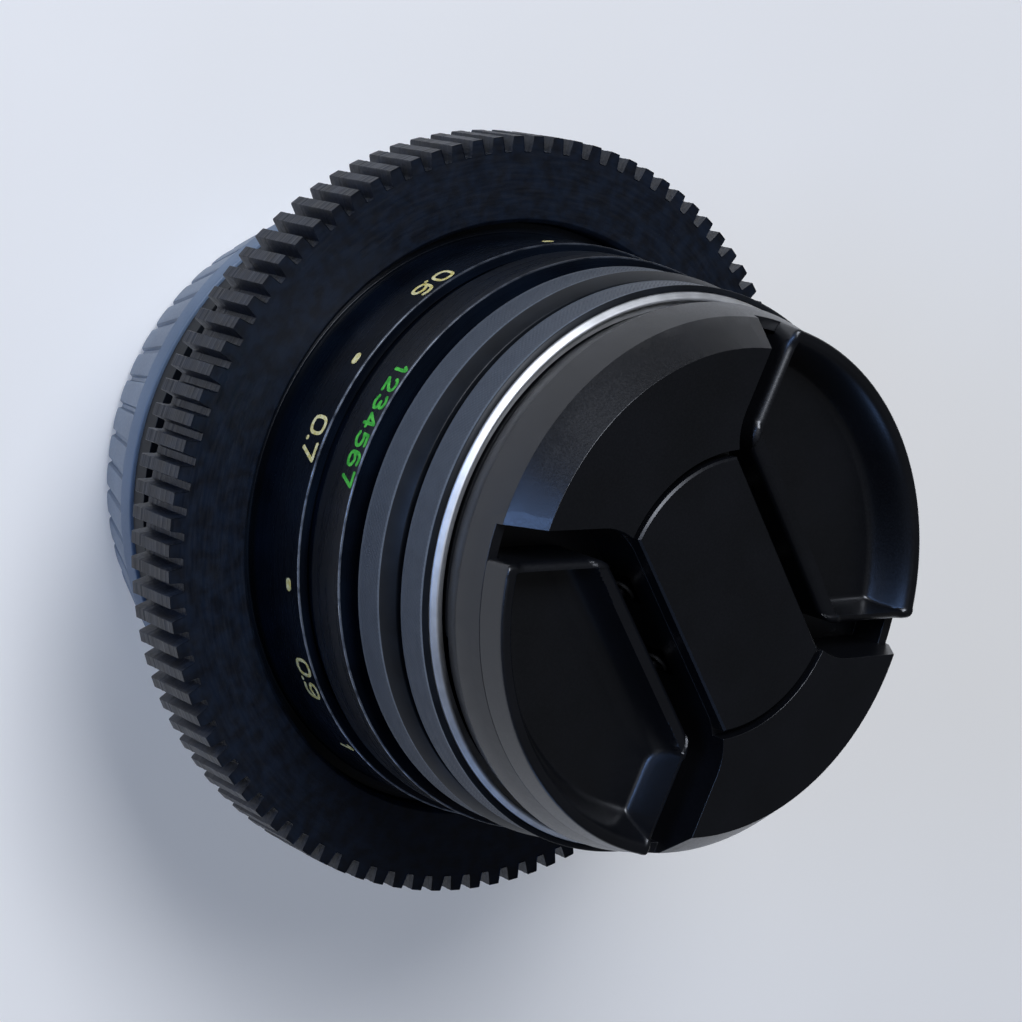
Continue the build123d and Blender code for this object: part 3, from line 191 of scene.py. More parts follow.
# Turned metal left bare: the tool's rings spread the highlight round the axis
bare_aluminium = finish(
    "bare_turned_aluminium", "#D8D7D4", "#EBEAE7", (0.5, 0.6), 2, 0.15, 0.003, 0.0004, Metallic=1.0
)
turned_brass = finish(
    "turned_brass", "#9C7C3A", "#C7A45A", (0.2, 0.34), 3, 0.2, 0.003, 0.0004, Metallic=1.0
)
bright_steel = finish(
    "bright_steel", "#8E9093", "#B9BBBE", (0.2, 0.34), 3, 0.15, 0.003, 0.0004, Metallic=1.0
)
# Spring steel blackened in a hot bath: dark, with a dull metal glow
blackened_steel = finish(
    "blackened_spring_steel", "#060607", "#0A0A0B", (0.6, 0.75), 1, 0.3, 0.002, Metallic=0.2
)
# Printed plastic: each layer's bead cools with its own sheen; its blue tint is painted, as the blue
# light on the teeth
printed_plastic = finish(
    "printed_plastic", "#080C14", "#0F1825", (0.38, 0.54), 1.5, 0.35, 0.015, 0.004, IOR=1.46
)
# Polished optical glass with its thin coating
optical_glass = finish(
    "coated_optical_glass", "#EEF2FF", "#F8F4FF", (0.0, 0.02), 8, 4, 0.0, IOR=1.52,
    Transmission_Weight=1.0,
)
# Paint rubbed into engraved marks: matt, a little uneven
yellow_paint = finish("yellow_engraving_paint", "#D3C169", "#F1E7B2", (0.4, 0.5), 0.5, 0.2, 0.02)
green_paint = finish("green_engraving_paint", "#2C9A2A", "#56C746", (0.4, 0.5), 0.5, 0.2, 0.02)
white_paint = finish("white_engraving_paint", "#C4C4BD", "#E4E3DC", (0.4, 0.5), 0.5, 0.2, 0.02)

FINISHES = {
    "rear_cap_plastic": rear_cap_abs,
    "gear_plastic": printed_plastic,
    "barrel_enamel": barrel_enamel,
    "black_anodised": black_anodised,
    "bare_aluminium": bare_aluminium,
    "brass": turned_brass,
    "steel": bright_steel,
    "blade_black": blackened_steel,
    "cap_plastic": cap_abs,
    "optical_glass": optical_glass,
}


# Shapes
SOFT_STEPS = 4
ROUNDING_SHARE = 0.4
GUARD_SHARE = 0.1


def softened(corners, soft, steps=SOFT_STEPS, guard=0.0):
    """A closed profile with rounded corners: each corner P becomes the curve
    (1-t)^2 A + 2t(1-t) P + t^2 C, where A and C lie on its two sides, soft away from P or at most
    a share of the side. A corner is (radius, height, its own soft, how bare it is, from wear and
    from a painted glint). A guard adds a point that far past A and C, so that the bare metal stays
    at the edge. Returns (radius, height, bareness) rows."""
    point = np.array([c[:2] for c in corners], float)
    reach = np.array([c[2] if len(c) > 2 else soft for c in corners])[:, None]
    bare_metal = np.array([c[3] if len(c) > 3 else 0.0 for c in corners])
    before = np.roll(point, 1, 0) - point
    after = np.roll(point, -1, 0) - point
    before_length = np.linalg.norm(before, axis=1, keepdims=True)
    after_length = np.linalg.norm(after, axis=1, keepdims=True)
    start_reach = np.minimum(reach, ROUNDING_SHARE * before_length)
    end_reach = np.minimum(reach, ROUNDING_SHARE * after_length)
    start = point + before / before_length * start_reach
    end = point + after / after_length * end_reach
    t = np.linspace(0, 1, steps)[None, :, None]
    curve = (
        (1 - t) ** 2 * start[:, None] + 2 * t * (1 - t) * point[:, None] + t**2 * end[:, None]
    )
    wear_and_glint = np.repeat(bare_metal[:, None], steps, 1)
    if guard:
        early = start + before / before_length * np.minimum(guard, GUARD_SHARE * before_length)
        late = end + after / after_length * np.minimum(guard, GUARD_SHARE * after_length)
        curve = np.concatenate([early[:, None], curve, late[:, None]], 1)
        wear_and_glint = np.pad(wear_and_glint, ((0, 0), (1, 1)))
    return np.concatenate([curve, wear_and_glint[:, :, None]], 2).reshape(-1, 3)


def revolved(profile, angle, swell=None):
    """Points of a profile turned about Z: (r cos a, r sin a, z), with r grown by swell(a, r, z)."""
    angle = angle[None, :]
    radius = np.repeat(profile[:, :1], angle.size, 1)
    height = np.repeat(profile[:, 1:2], angle.size, 1)
    if swell is not None:
        radius = radius + swell(angle, radius, height)
    return np.stack([radius * np.cos(angle), radius * np.sin(angle), height], -1)


def piece_of(name, mesh, body, material, replaced=()):
    """Shows a mesh as a named piece that rides on a body."""
    mesh.materials.clear()
    mesh.materials.append(material)
    piece = bpy.data.objects.new(name, mesh)
    scene.collection.objects.link(piece)
    if body:
        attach(piece, body)
    if replaced:
        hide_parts(*replaced)
    return piece


def grid_piece(name, grids, body, material, replaced=(), wear_and_glint=None, loop=True, sharp=60):
    """A closed mesh from grids of points, rows by columns by xyz in millimetres, with quads in
    between. Rows and columns close on themselves; without loop the rows end in two caps. Edges
    that bend more than sharp, in degrees, stay sharp. Wear and painted glints: rows by columns."""
    verts, faces, count = [], [], 0
    for points in grids:
        rows, columns = points.shape[:2]
        index = count + np.arange(rows * columns).reshape(rows, columns)
        down, across = np.roll(index, -1, 0), np.roll(index, -1, 1)
        quads = np.stack([index, across, np.roll(down, -1, 1), down], -1)
        quads = quads[: None if loop else -1].reshape(-1, 4)
        flat = points.reshape(-1, 3) * MM
        a, b, c, d = (flat[quads[:, k] - count] for k in range(4))
        volume = np.einsum("ij,ij->", a, np.cross(b, c)) + np.einsum("ij,ij->", a, np.cross(c, d))
        ends = [] if loop else [index[0, ::-1].tolist(), index[-1].tolist()]
        way = -1 if volume < 0 else 1
        faces += [face[::way] for face in quads.tolist() + ends]
        verts.append(flat)
        count += len(flat)
    mesh = bpy.data.meshes.new(name)
    mesh.from_pydata(np.vstack(verts), [], faces)
    mesh.shade_smooth()
    mesh.set_sharp_from_angle(angle=np.radians(sharp))
    if wear_and_glint is not None:
        layer = mesh.attributes.new("wear_and_glint", "FLOAT", "POINT")
        layer.data.foreach_set("value", wear_and_glint.astype(np.float32).ravel())
    return piece_of(name, mesh, body, material, replaced)


# How near a CAD piece's doubled points lie, in millimetres, the bend that counts as flat and the
# one past which an edge is rounded wide, in degrees
WELD = 0.002
FLAT_BEND = 0.5
WIDE_BEND = 60


def soft_copy(node_name, wide, fine, crease):
    """A merged copy of a CAD piece with its edges rounded by a Bevel modifier, in millimetres:
    wide past WIDE_BEND, and fine between the crease angle and that."""
    source = nodes[node_name]
    mesh = source.data.copy()
    work = bmesh.new()
    work.from_mesh(mesh)
    bmesh.ops.remove_doubles(work, verts=work.verts, dist=WELD * MM)
    bmesh.ops.dissolve_limit(
        work, angle_limit=np.radians(FLAT_BEND), verts=work.verts, edges=work.edges
    )
    weight = work.edges.layers.float.new("bevel_weight_edge")
    for edge in work.edges:
        bend = np.degrees(edge.calc_face_angle(0.0))
        if bend > WIDE_BEND:
            edge[weight] = 1.0
        elif bend > crease:
            edge[weight] = fine / wide
    work.to_mesh(mesh)
    work.free()
    slot = slots[node_name]
    piece = piece_of(
        f"{node_name}_soft", mesh, source["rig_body"], FINISHES[slot], (node_name,)
    )
    mesh.shade_smooth()
    mesh.set_sharp_from_angle(angle=np.radians(crease))
    bevel = piece.modifiers.new("soft_edges", "BEVEL")
    bevel.width = wide * MM
    bevel.segments = 2
    bevel.limit_method = "WEIGHT"
    bevel.harden_normals = True


# Each CAD node's material slot, as the record gives it; what isn't listed is anodised black
SLOT_NODES = {
    "rear_cap_plastic": ("rear_cap",),
    "gear_plastic": ("focus_gear",),
    "barrel_enamel": ("focus_ring", "front_barrel", "main_barrel", "aperture_ring"),
    "bare_aluminium": ("filter_front_ring",),
    "brass": ("helicoid_sleeve", "focus_key"),
    "steel": (
        "mount_screws", "focus_lock_screws", "click_ball", "iris_drive_rod", "cap_springs",
        "aperture_fork",
    ),
    "blade_black": tuple(f"iris_blade_{k}" for k in range(1, 7)),
    "cap_plastic": ("cap_body", "cap_centre_plate", "cap_lever_left", "cap_lever_right"),
    "optical_glass": (
        "front_element", "front_doublet_crown", "front_doublet_flint", "rear_doublet_flint",
        "rear_doublet_crown", "rear_element", "filter_glass",
    ),
}
slots = {name: slot for slot, names in SLOT_NODES.items() for name in names}
slots = {name: slots.get(name, "black_anodised") for name in nodes}

# Rings turned on a lathe, from the corners of their sections
FOCUS_RING = [
    (24.3, 19.6), (27.4, 19.6), (27.4, 24.8), (26.7, 24.8), (26.7, 27.2), (27.4, 27.2),
    (27.4, 28.4), (31.05, 28.4), (31.05, 34.0), (29.9, 34.0), (29.9, 43.25, 0.14, 1.0),
    (28.8, 43.25, 0.1), (28.8, 32.5), (27.4, 32.5), (27.4, 42.95), (24.3, 42.95),
]
FRONT_BARREL = [
    (27.7, 33.1), (28.6, 33.1), (28.6, 44.7), (29.3, 44.7, 0.1), (29.3, 49.5, 0.14, 1.0),
    (26.3, 49.5), (26.3, 51.7), (24.5, 51.7), (24.5, 48.5), (22.1, 48.5), (22.1, 46.15),
    (27.7, 46.15),
]
STEP_UP_RING = [
    (23.4, 48.8), (24.45, 48.8), (24.45, 51.7), (28.6, 51.7), (28.6, 55.35, 0.05),
    (27.8, 56.95, 0.1), (26.0, 56.95), (26.0, 53.95), (23.4, 53.95),
]
FILTER_RING = [
    (24.2, 54.95), (25.95, 54.95), (25.95, 56.95), (26.9, 56.95), (26.9, 57.95), (28.0, 57.95),
    (28.0, 61.5, 0.05), (27.45, 61.8), (27.45, 61.15), (26.0, 61.15), (26.0, 57.85),
    (25.15, 57.85), (25.15, 55.85), (24.2, 55.85),
]
SILVER_RING = [
    (25.7, 61.15), (27.4, 61.15), (27.4, 61.75, 0.15), (26.85, 62.25, 0.15), (26.6, 62.2, 0.05),
    (26.6, 61.4, 0.05), (25.7, 61.4, 0.05),
]

turn_360 = np.linspace(0, 2 * np.pi, 360, endpoint=False)
# The enamel's edges are rubbed bare a little all round, and painted bare most on one side, as the
# highlight that the light puts on them there
HIGHLIGHT_SIDE = np.radians(-15)
LEAST_RUBBED = 0.12
EDGE_GUARD = 0.04
rubbed_and_highlit = np.clip(np.cos(turn_360 - HIGHLIGHT_SIDE), 0, 1) ** 2
rubbed_and_highlit = LEAST_RUBBED + (1 - LEAST_RUBBED) * rubbed_and_highlit
for name, corners, soft, body in (
    ("focus_ring", FOCUS_RING, 0.15, "focus_ring"),
    ("front_barrel", FRONT_BARREL, 0.15, "optical_block"),
    ("filter_front_ring", SILVER_RING, 0.08, "optical_block"),
):
    profile = softened(corners, soft, guard=EDGE_GUARD)
    grid_piece(
        f"{name}_turned",
        [revolved(profile, turn_360)],
        body,
        FINISHES[slots[name]],
        (name,),
        profile[:, 2:] * rubbed_and_highlit,
    )

# Knurled rings: fine diamonds from two crossing sets of grooves
KNURLS = 360
KNURL_DEPTH = 0.09
KNURL_ROWS = 26
# From the band's two edges to its rows of points and, at the back, to the knurl
BAND_BACK = 0.1
BAND_FRONT = 0.07
KNURL_BACK = 0.2
# The share of bare metal painted over the knurled band as its sheen, and the width of the strip
# along its front edge painted fully bare as a glint
KNURL_GLINT = 0.4
GLINT_WIDTH = 0.4
RING_SOFT = 0.08
RING_STEPS = 3
knurl_turn = np.linspace(0, 2 * np.pi, 4 * KNURLS, endpoint=False)

# Each ring with the number of the corner where its band starts
for name, corners, band_corner in (
    ("step_up_ring", STEP_UP_RING, 3),
    ("filter_ring", FILTER_RING, 5),
):
    profile = softened(corners, RING_SOFT, RING_STEPS)
    outer, low = corners[band_corner][:2]
    high = corners[band_corner + 1][1] - BAND_FRONT
    band = np.linspace(low + BAND_BACK, high, KNURL_ROWS)
    glint = np.where(band > high - GLINT_WIDTH, 1.0, KNURL_GLINT)
    rows = np.stack([np.full(KNURL_ROWS, outer), band, glint], 1)
    profile = np.insert(profile, (band_corner + 1) * RING_STEPS, rows, 0)
    pitch = 2 * np.pi * outer / KNURLS

    def knurl(angle, radius, height):
        """Depth of a diamond knurl: the deeper of two triangle waves that cross, and none off
        the band."""
        round_way, rise = angle / (2 * np.pi) * KNURLS, height / pitch
        one = np.abs((round_way + rise) % 1 - 0.5) * 2
        two = np.abs((round_way - rise) % 1 - 0.5) * 2
        on = (radius > outer - 0.001) & (height > low + KNURL_BACK) & (height < high + 0.01)
        return np.where(on, -KNURL_DEPTH * np.maximum(one, two), 0)

    grid_piece(
        f"{name}_knurled",
        [revolved(profile, knurl_turn, knurl)],
        "optical_block",
        black_anodised,
        (name,),
        np.repeat(profile[:, 2:], knurl_turn.size, 1),
    )

# Follow-focus gear: square-shouldered teeth, and one bead of plastic for each printed layer
GEAR_TEETH = 98
GEAR_PHASE = np.radians(-131.1)
GEAR_TIP_R = 40.0
GEAR_ROOT_R = 38.4
GEAR_BORE_R = 31.1
GEAR_BACK_Z = 28.65
GEAR_FRONT_Z = 36.0
LAYER = 0.3
LAYER_BULGE = 0.03
LAYER_DRIFT = 0.02
BEAD_POINTS = 3
# How far in from the outline the faces' first ring of points lies, and the least for the others
EDGE_INSET = 0.1
FACE_INSET = 0.12
BORE_CHAMFER = 0.45
BORE_MARGIN = 1.2

random = np.random.default_rng(7)
# A tooth's outline: shares of the pitch, and the share of the tooth's height at each
share = np.array([-0.5, -0.36, -0.32, -0.245, -0.22, 0.22, 0.245, 0.32, 0.36])
tooth_rise = np.array([0, 0, 0.08, 0.93, 1, 1, 0.93, 0.08, 0]) * (GEAR_TIP_R - GEAR_ROOT_R)
tooth_angle = (np.arange(GEAR_TEETH)[:, None] + share).ravel() * 2 * np.pi / GEAR_TEETH
tooth_angle = tooth_angle + GEAR_PHASE
outline = GEAR_ROOT_R + np.tile(tooth_rise, GEAR_TEETH)
layers = round((GEAR_FRONT_Z - GEAR_BACK_Z) / LAYER)
layer_offset = random.uniform(-LAYER_DRIFT, LAYER_DRIFT, layers)
bead = (np.arange(BEAD_POINTS) + 0.5) / BEAD_POINTS
side_z = GEAR_BACK_Z + (np.arange(layers)[:, None] + bead).ravel() * LAYER
side_grow = (layer_offset[:, None] + LAYER_BULGE * (np.sin(np.pi * bead) - 1)).ravel()
side_r = outline + side_grow[:, None]
inward = np.array([0.6, 1.4, 2.6, 4.2, 5.8])[:, None]
face_r = np.minimum(outline - FACE_INSET, GEAR_TIP_R - inward)
face_r = np.vstack([outline - EDGE_INSET, face_r])
bore = softened(
    [
        (GEAR_BORE_R + BORE_MARGIN, GEAR_FRONT_Z), (GEAR_BORE_R + BORE_CHAMFER, GEAR_FRONT_Z),
        (GEAR_BORE_R, GEAR_FRONT_Z - BORE_CHAMFER), (GEAR_BORE_R, GEAR_BACK_Z),
        (GEAR_BORE_R + BORE_MARGIN, GEAR_BACK_Z),
    ],
    0.1,
)[SOFT_STEPS:-SOFT_STEPS, :2]
gear_r = np.vstack([side_r, face_r, np.repeat(bore[:, :1], outline.size, 1), face_r[::-1]])
gear_z = np.concatenate(
    [side_z, np.full(len(face_r), GEAR_FRONT_Z), bore[:, 1], np.full(len(face_r), GEAR_BACK_Z)]
)
gear_z = np.repeat(gear_z[:, None], outline.size, 1)
grid_piece(
    "focus_gear_printed",
    [np.stack([gear_r * np.cos(tooth_angle), gear_r * np.sin(tooth_angle), gear_z], -1)],
    "focus_ring",
    printed_plastic,
    ("focus_gear",),
    sharp=35,
)

# Rear cap: a fluted cup with a plain band at its front and three lugs inside. Its profile is open
# at the axis, where the grid's two end caps close the back and the floor of the cup
FLANK_FOOT = (28.0, 1.0)
FLANK_TOP = (31.9, 11.5)
FLANK_ROWS = (4.0, 8.0, 11.0, 11.25)
LUG_Z = (12.0, 13.2)
LUG_ROOT_R = 27.29
LUG_TIP_R = 25.5
LUG_HALF_SPAN = np.radians(28)
LUG_TURN = 2 * np.pi / 3
REAR_CAP = [
    (0.4, 0.0, 0.02), (27.0, 0.0, 0.3), (*FLANK_FOOT, 0.3), (*FLANK_TOP, 0.02), (31.9, 13.4, 0.25),
    (27.3, 13.4, 0.2), (27.3, 13.2, 0.01), (LUG_ROOT_R, 13.19, 0.01), (LUG_ROOT_R, 12.01, 0.01),
    (27.3, 12.0, 0.01), (27.3, 8.3), (26.2, 8.3), (26.2, 2.0), (0.4, 2.0, 0.02),
]
REAR_CAP_FLUTES = 57
REAR_CAP_PHASE = np.radians(-80.0)
SLOT_DEPTH = 0.45
# Heights up the flank, and the share of the slots' depth at each
SLOT_RISE = ((0.0, 0.9, 11.2, FLANK_TOP[1]), (0.3, 1.0, 1.0, 0.0))
# The flank lies past the back's radius and past a slanting line inside the wall, given by its
# radius at the back and its slope
BACK_R = 26.9
LINE_R = 26.5
LINE_SLOPE = 0.3
# A slot between the middles of two lands: shares of the pitch, and how far out the wall stands
flute_share = np.array([-0.5, -0.32, -0.17, -0.12, -0.095, -0.06, 0.06, 0.095, 0.12, 0.17, 0.32])
slot_shape = np.array([0.04, 0.03, 0.0, -0.06, -0.25, -SLOT_DEPTH])
flute_grow = np.concatenate([slot_shape, slot_shape[:0:-1]])
flute_angle = (np.arange(REAR_CAP_FLUTES)[:, None] + flute_share).ravel()
flute_angle = flute_angle * 2 * np.pi / REAR_CAP_FLUTES + REAR_CAP_PHASE
flute_depth = np.tile(flute_grow, REAR_CAP_FLUTES)


def rear_cap_swell(angle, radius, height):
    """On the flank, the slots' shape, less at the foot and none at the band; inside, the lugs'
    reach."""
    on = np.interp(height, *SLOT_RISE)
    on_flank = radius > np.maximum(BACK_R, LINE_R + LINE_SLOPE * height)
    in_lug = np.abs((angle + LUG_TURN / 2) % LUG_TURN - LUG_TURN / 2) < LUG_HALF_SPAN
    lug_row = (np.abs(radius - LUG_ROOT_R) < 0.005) & (height > LUG_Z[0]) & (height < LUG_Z[1])
    grow = np.where(on_flank, flute_depth[None, :] * on, 0)
    return np.where(lug_row & in_lug, LUG_TIP_R - radius, grow)


# More rows up the flank, after the profile's first three corners
profile = softened(REAR_CAP, 0.2)
flank_r = np.interp(FLANK_ROWS, *zip(FLANK_FOOT[::-1], FLANK_TOP[::-1]))
rows = np.stack([flank_r, FLANK_ROWS, np.zeros(len(FLANK_ROWS))], 1)
profile = np.insert(profile, 3 * SOFT_STEPS, rows, 0)
grid_piece(
    "rear_cap_moulded",
    [revolved(profile, flute_angle, rear_cap_swell)],
    "rear_cap",
    rear_cap_abs,
    ("rear_cap",),
    loop=False,
    sharp=40,
)

# Aperture ring: lands round its back half, a plain band for the figures and the click groove
LAND_R = 30.9
FIGURE_BAND_R = 30.4
APERTURE_RING = [
    (28.55, 16.1), (LAND_R, 16.1), (LAND_R, 19.85), (FIGURE_BAND_R, 20.35), (FIGURE_BAND_R, 23.6),
    (28.55, 23.6), (28.55, 20.55), (28.9, 20.55), (28.9, 19.15), (28.55, 19.15),
]
GRIP_LANDS = 30
GRIP_PHASE = 2.0
GRIP_DEPTH = 0.5
GRIP_TOP_Z = 19.5
GRIP_END = 0.06
# A gap and the land after it: degrees, and the share of the gap's depth at each
grip_turn = np.array([-2.2, -2.08, -1.95, -1.8, 0.0, 1.8, 1.95, 2.08, 2.2, 4.0, 6.0, 8.0])
grip_share = np.array([0, 0.05, 0.93, 1, 1, 1, 0.93, 0.05, 0, 0, 0, 0])
grip_angle = 360 / GRIP_LANDS * np.arange(GRIP_LANDS)[:, None] + GRIP_PHASE + grip_turn
grip_angle = grip_angle.ravel()
grip_depth = GRIP_DEPTH * np.tile(grip_share, GRIP_LANDS)


def grip(angle, radius, height):
    """Depth of the gaps between the lands, full up to the grip's top."""
    on = np.clip((GRIP_TOP_Z + GRIP_END - height) / GRIP_END, 0, 1)
    on = on * (radius > LAND_R - 0.9 * GRIP_DEPTH)
    return -grip_depth[None, :] * on


# Rows at the grip's top, after the profile's first two corners
profile = softened(APERTURE_RING, 0.1)
rows = np.array([(LAND_R, GRIP_TOP_Z + rise, 0) for rise in (-0.05, 0, GRIP_END)])
profile = np.insert(profile, 2 * SOFT_STEPS, rows, 0)
grid_piece(
    "aperture_ring_turned",
    [revolved(profile, np.radians(grip_angle), grip)],
    "aperture_ring",
    barrel_enamel,
    ("aperture_ring",),
    sharp=40,
)

# CAD pieces shown with softened edges
for node_name, wide, fine, crease in (
    ("main_barrel", 0.1, 0.1, 30),
    ("bayonet_mount", 0.1, 0.1, 30),
    ("cap_body", 0.15, 0.08, 12),
    ("front_retaining_ring", 0.08, 0.08, 30),
    ("filter_retaining_ring", 0.08, 0.08, 30),
    ("filter_glass", 0.08, 0.08, 30),
    ("front_element", 0.08, 0.08, 30),
):
    soft_copy(node_name, wide, fine, crease)

# CAD pieces shown as they are
for node_name, piece in nodes.items():
    piece.data.materials.clear()
    piece.data.materials.append(FINISHES[slots[node_name]])

# Front cap levers, drawn on the +X side: a rounded ridge along the inner and flared edges, a
# finger dish that is steep at the ridge and at its ends, and a rim that rises to the outer wall
LEVER_EDGE_X = 9.45
LEVER_CORNER = (9.75, 11.4)
LEVER_FLARE = np.radians(34)
LEVER_RIM_R = 25.83
LEVER_WALL_R = 26.18
LEVER_SKIRT_R = 24.8
LEVER_Z = (64.35, 67.95)
RIDGE_Z = 70.55
RIM_Z = 70.8
DISH_Z = 66.4
# Where the dish's slopes start, in from the inner edge, the flared edges and the rim, and how
# wide they are
INNER_SLOPE = (1.6, 2.6)
END_SLOPE = (0.9, 0.9)
RIM_SLOPE = (0.8, 2.8)
SLOPE_BLEND = 0.3
EDGE_BLEND = 0.4
EDGE_ROUND = 0.9
RIM_ROUND = 0.35
LEVER_MIDDLE = np.array([16.8, 0.0])
INNER_ROUND = 2.0
OUTER_ROUND = 1.3
LEVER_COLUMNS = 300
LEVER_RINGS = 64
# The hook under each lever, which grips the filter's thread: the radii and heights of its stem
# and its foot, and its span in degrees
HOOK_STEM = ((23.4, 24.6), (61.6, 65.3))
HOOK_FOOT = ((23.5, 25.5), (61.55, 62.85))
HOOK_SPAN = 40


def flank_y(x):
    """Half the lever's length at x, along its flared edge."""
    return LEVER_CORNER[1] + (x - LEVER_CORNER[0]) * np.tan(LEVER_FLARE)


def lever_outline(radius):
    """The lever's plan: its straight inner edge, two flared edges and an arc of that radius, with
    rounded corners, as equal steps."""
    slope = np.tan(LEVER_FLARE)
    start = LEVER_CORNER[1] - slope * LEVER_CORNER[0]
    corner_x = (-slope * start + np.sqrt(radius**2 * (1 + slope**2) - start**2)) / (1 + slope**2)
    reach = np.arctan2(flank_y(corner_x), corner_x)
    arc = np.linspace(reach, -reach, 41)[1:-1]
    ends = [(corner_x, way * flank_y(corner_x), OUTER_ROUND) for way in (1, -1)]
    inner = (LEVER_EDGE_X, flank_y(LEVER_EDGE_X), INNER_ROUND)
    round_way = [(radius * np.cos(a), radius * np.sin(a), 0.001) for a in arc]
    corners = [inner, ends[0], *round_way, ends[1], (inner[0], -inner[1], inner[2])]
    path = softened(corners, 0.1, 9)[:, :2]
    path = np.vstack([path, path[:1]])
    length = np.concatenate([[0], np.cumsum(np.linalg.norm(np.diff(path, axis=0), axis=1))])
    steps = np.linspace(0, length[-1], LEVER_COLUMNS, endpoint=False)
    return np.stack([np.interp(steps, length, path[:, k]) for k in (0, 1)], 1)


def lever_top(x, y):
    """Height of the lever's top: the smooth maximum of a quarter-ellipse slope down from the inner
    ridge, two short steep ones at the ends and an S-shaped one down from the rim. Near its edges
    it falls off as a quarter circle."""
    inner = x - LEVER_EDGE_X
    flank = (flank_y(x) - np.abs(y)) * np.cos(LEVER_FLARE)
    outer = LEVER_RIM_R - np.hypot(x, y)
    slope, end, wall = (
        np.clip((distance - start) / width, 0, 1)
        for distance, (start, width) in (
            (inner, INNER_SLOPE), (flank, END_SLOPE), (outer, RIM_SLOPE),
        )
    )
    heights = np.stack([
        DISH_Z + (RIDGE_Z - DISH_Z) * (1 - np.sqrt(1 - (1 - slope) ** 2)),
        DISH_Z + (RIDGE_Z - DISH_Z) * (1 - np.sqrt(1 - (1 - end) ** 2)),
        DISH_Z + (RIM_Z - DISH_Z) * (1 - wall * wall * (3 - 2 * wall)),
    ])
    height = np.log(np.sum(np.exp((heights - RIM_Z) / SLOPE_BLEND), 0))
    height = SLOPE_BLEND * height + RIM_Z
    edge = -EDGE_BLEND * np.log(np.exp(-inner / EDGE_BLEND) + np.exp(-flank / EDGE_BLEND))
    for distance, fall in ((edge, EDGE_ROUND), (outer, RIM_ROUND)):
        near = np.clip(1 - distance / fall, 0, 1)
        height = height - fall * (1 - np.sqrt(1 - near**2))
    return np.minimum(height, RIM_Z)


def lever_shell():
    """The lever's closed surface: rings of its outline shrunk towards a middle point at the top's
    height, then the outline carried down the wall and the skirt, and shrunk again below."""
    rim = lever_outline(LEVER_RIM_R)
    wall = lever_outline(LEVER_WALL_R)
    shrink = np.minimum(1, LEVER_SKIRT_R / np.hypot(wall[:, 0], wall[:, 1]))
    skirt = wall * shrink[:, None]
    share = 1 - (1 - np.linspace(0.01, 1, LEVER_RINGS)) ** 1.5
    plan = LEVER_MIDDLE + share[:, None, None] * (rim - LEVER_MIDDLE)
    top = np.dstack([plan, lever_top(plan[:, :, 0], plan[:, :, 1])])
    edge_z = top[-1, :, 2]
    side = [
        np.column_stack([rim + (wall - rim) * t, edge_z + (LEVER_Z[1] - edge_z) * t])
        for t in (0.1, 0.4, 0.7, 1.0)
    ]
    low = [np.column_stack([skirt, np.full(LEVER_COLUMNS, z)]) for z in (LEVER_Z[1], LEVER_Z[0])]
    shares = np.array([0.98, 0.5, 0.01])[:, None, None]
    below = LEVER_MIDDLE + shares * (skirt - LEVER_MIDDLE)
    below = np.dstack([below, np.full(below.shape[:2], LEVER_Z[0])])
    return np.concatenate([top, np.stack(side + low), below])


def arc_block(radii, heights, span):
    """A block with a rectangular section carried along an arc about Z, either side of +X."""
    (r0, r1), (z0, z1) = radii, heights
    section = softened([(r0, z0), (r1, z0), (r1, z1), (r0, z1)], 0.1, 3)
    angle = np.radians(np.linspace(-span / 2, span / 2, 25))[:, None]
    r, z = section[None, :, 0], section[None, :, 1] + 0 * angle
    return np.stack([r * np.cos(angle), r * np.sin(angle), z], -1)


PIN_X = (3.75, 10.2)
PIN_R = 0.6
PIN_CHAMFER = 0.15


def guide_pin(y, height):
    """A round pin along X that carries a spring: circles of its radius, smaller at the tip."""
    turn = np.linspace(0, 2 * np.pi, 20, endpoint=False)[None, :]
    radius = np.array([PIN_R - PIN_CHAMFER, PIN_R, PIN_R])[:, None]
    x = np.array([PIN_X[0], PIN_X[0] + PIN_CHAMFER, PIN_X[1]])[:, None] + 0 * turn
    return np.stack([x, y + radius * np.cos(turn), height + radius * np.sin(turn)], -1)


SPRING_SIDE = 4.4
spring_low, spring_high = (np.array(corner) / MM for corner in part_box("cap_springs"))
spring_z = (spring_low[2] + spring_high[2]) / 2
lever_grids = [
    lever_shell(),
    arc_block(*HOOK_STEM, HOOK_SPAN),
    arc_block(*HOOK_FOOT, HOOK_SPAN),
    guide_pin(SPRING_SIDE, spring_z),
    guide_pin(-SPRING_SIDE, spring_z),
]
LEVERS = (("cap_lever_left", 1), ("cap_lever_right", -1))
for lever, way in LEVERS:
    grid_piece(
        f"{lever}_moulded",
        [grid * (way, way, 1) for grid in lever_grids],
        lever,
        cap_abs,
        (lever,),
        loop=False,
        sharp=50,
    )

# The levers' two coil springs: each half of a spring stretches with the lever that it pushes
SPRING_R = 1.1
WIRE_R = 0.2
SPRING_HALF = 9.5
SPRING_TURNS = 7
TURN_STEPS = 16


def coil(side, y):
    """Half a coil spring along X: the middle line is (x, y + R cos a, z + R sin a) with x growing
    with a; the wire is a circle round it in the plane of its normal and the X axis."""
    along = np.linspace(0, 1, SPRING_TURNS * TURN_STEPS + 1)[:, None]
    turn = along * SPRING_TURNS * 2 * np.pi
    wire = np.linspace(0, 2 * np.pi, 6, endpoint=False)[None, :]
    reach = SPRING_R + WIRE_R * np.cos(wire)
    x = side * (along * (SPRING_HALF - WIRE_R)) + WIRE_R * np.sin(wire)
    return np.stack([x, y + reach * np.cos(turn), spring_z + reach * np.sin(turn)], -1)


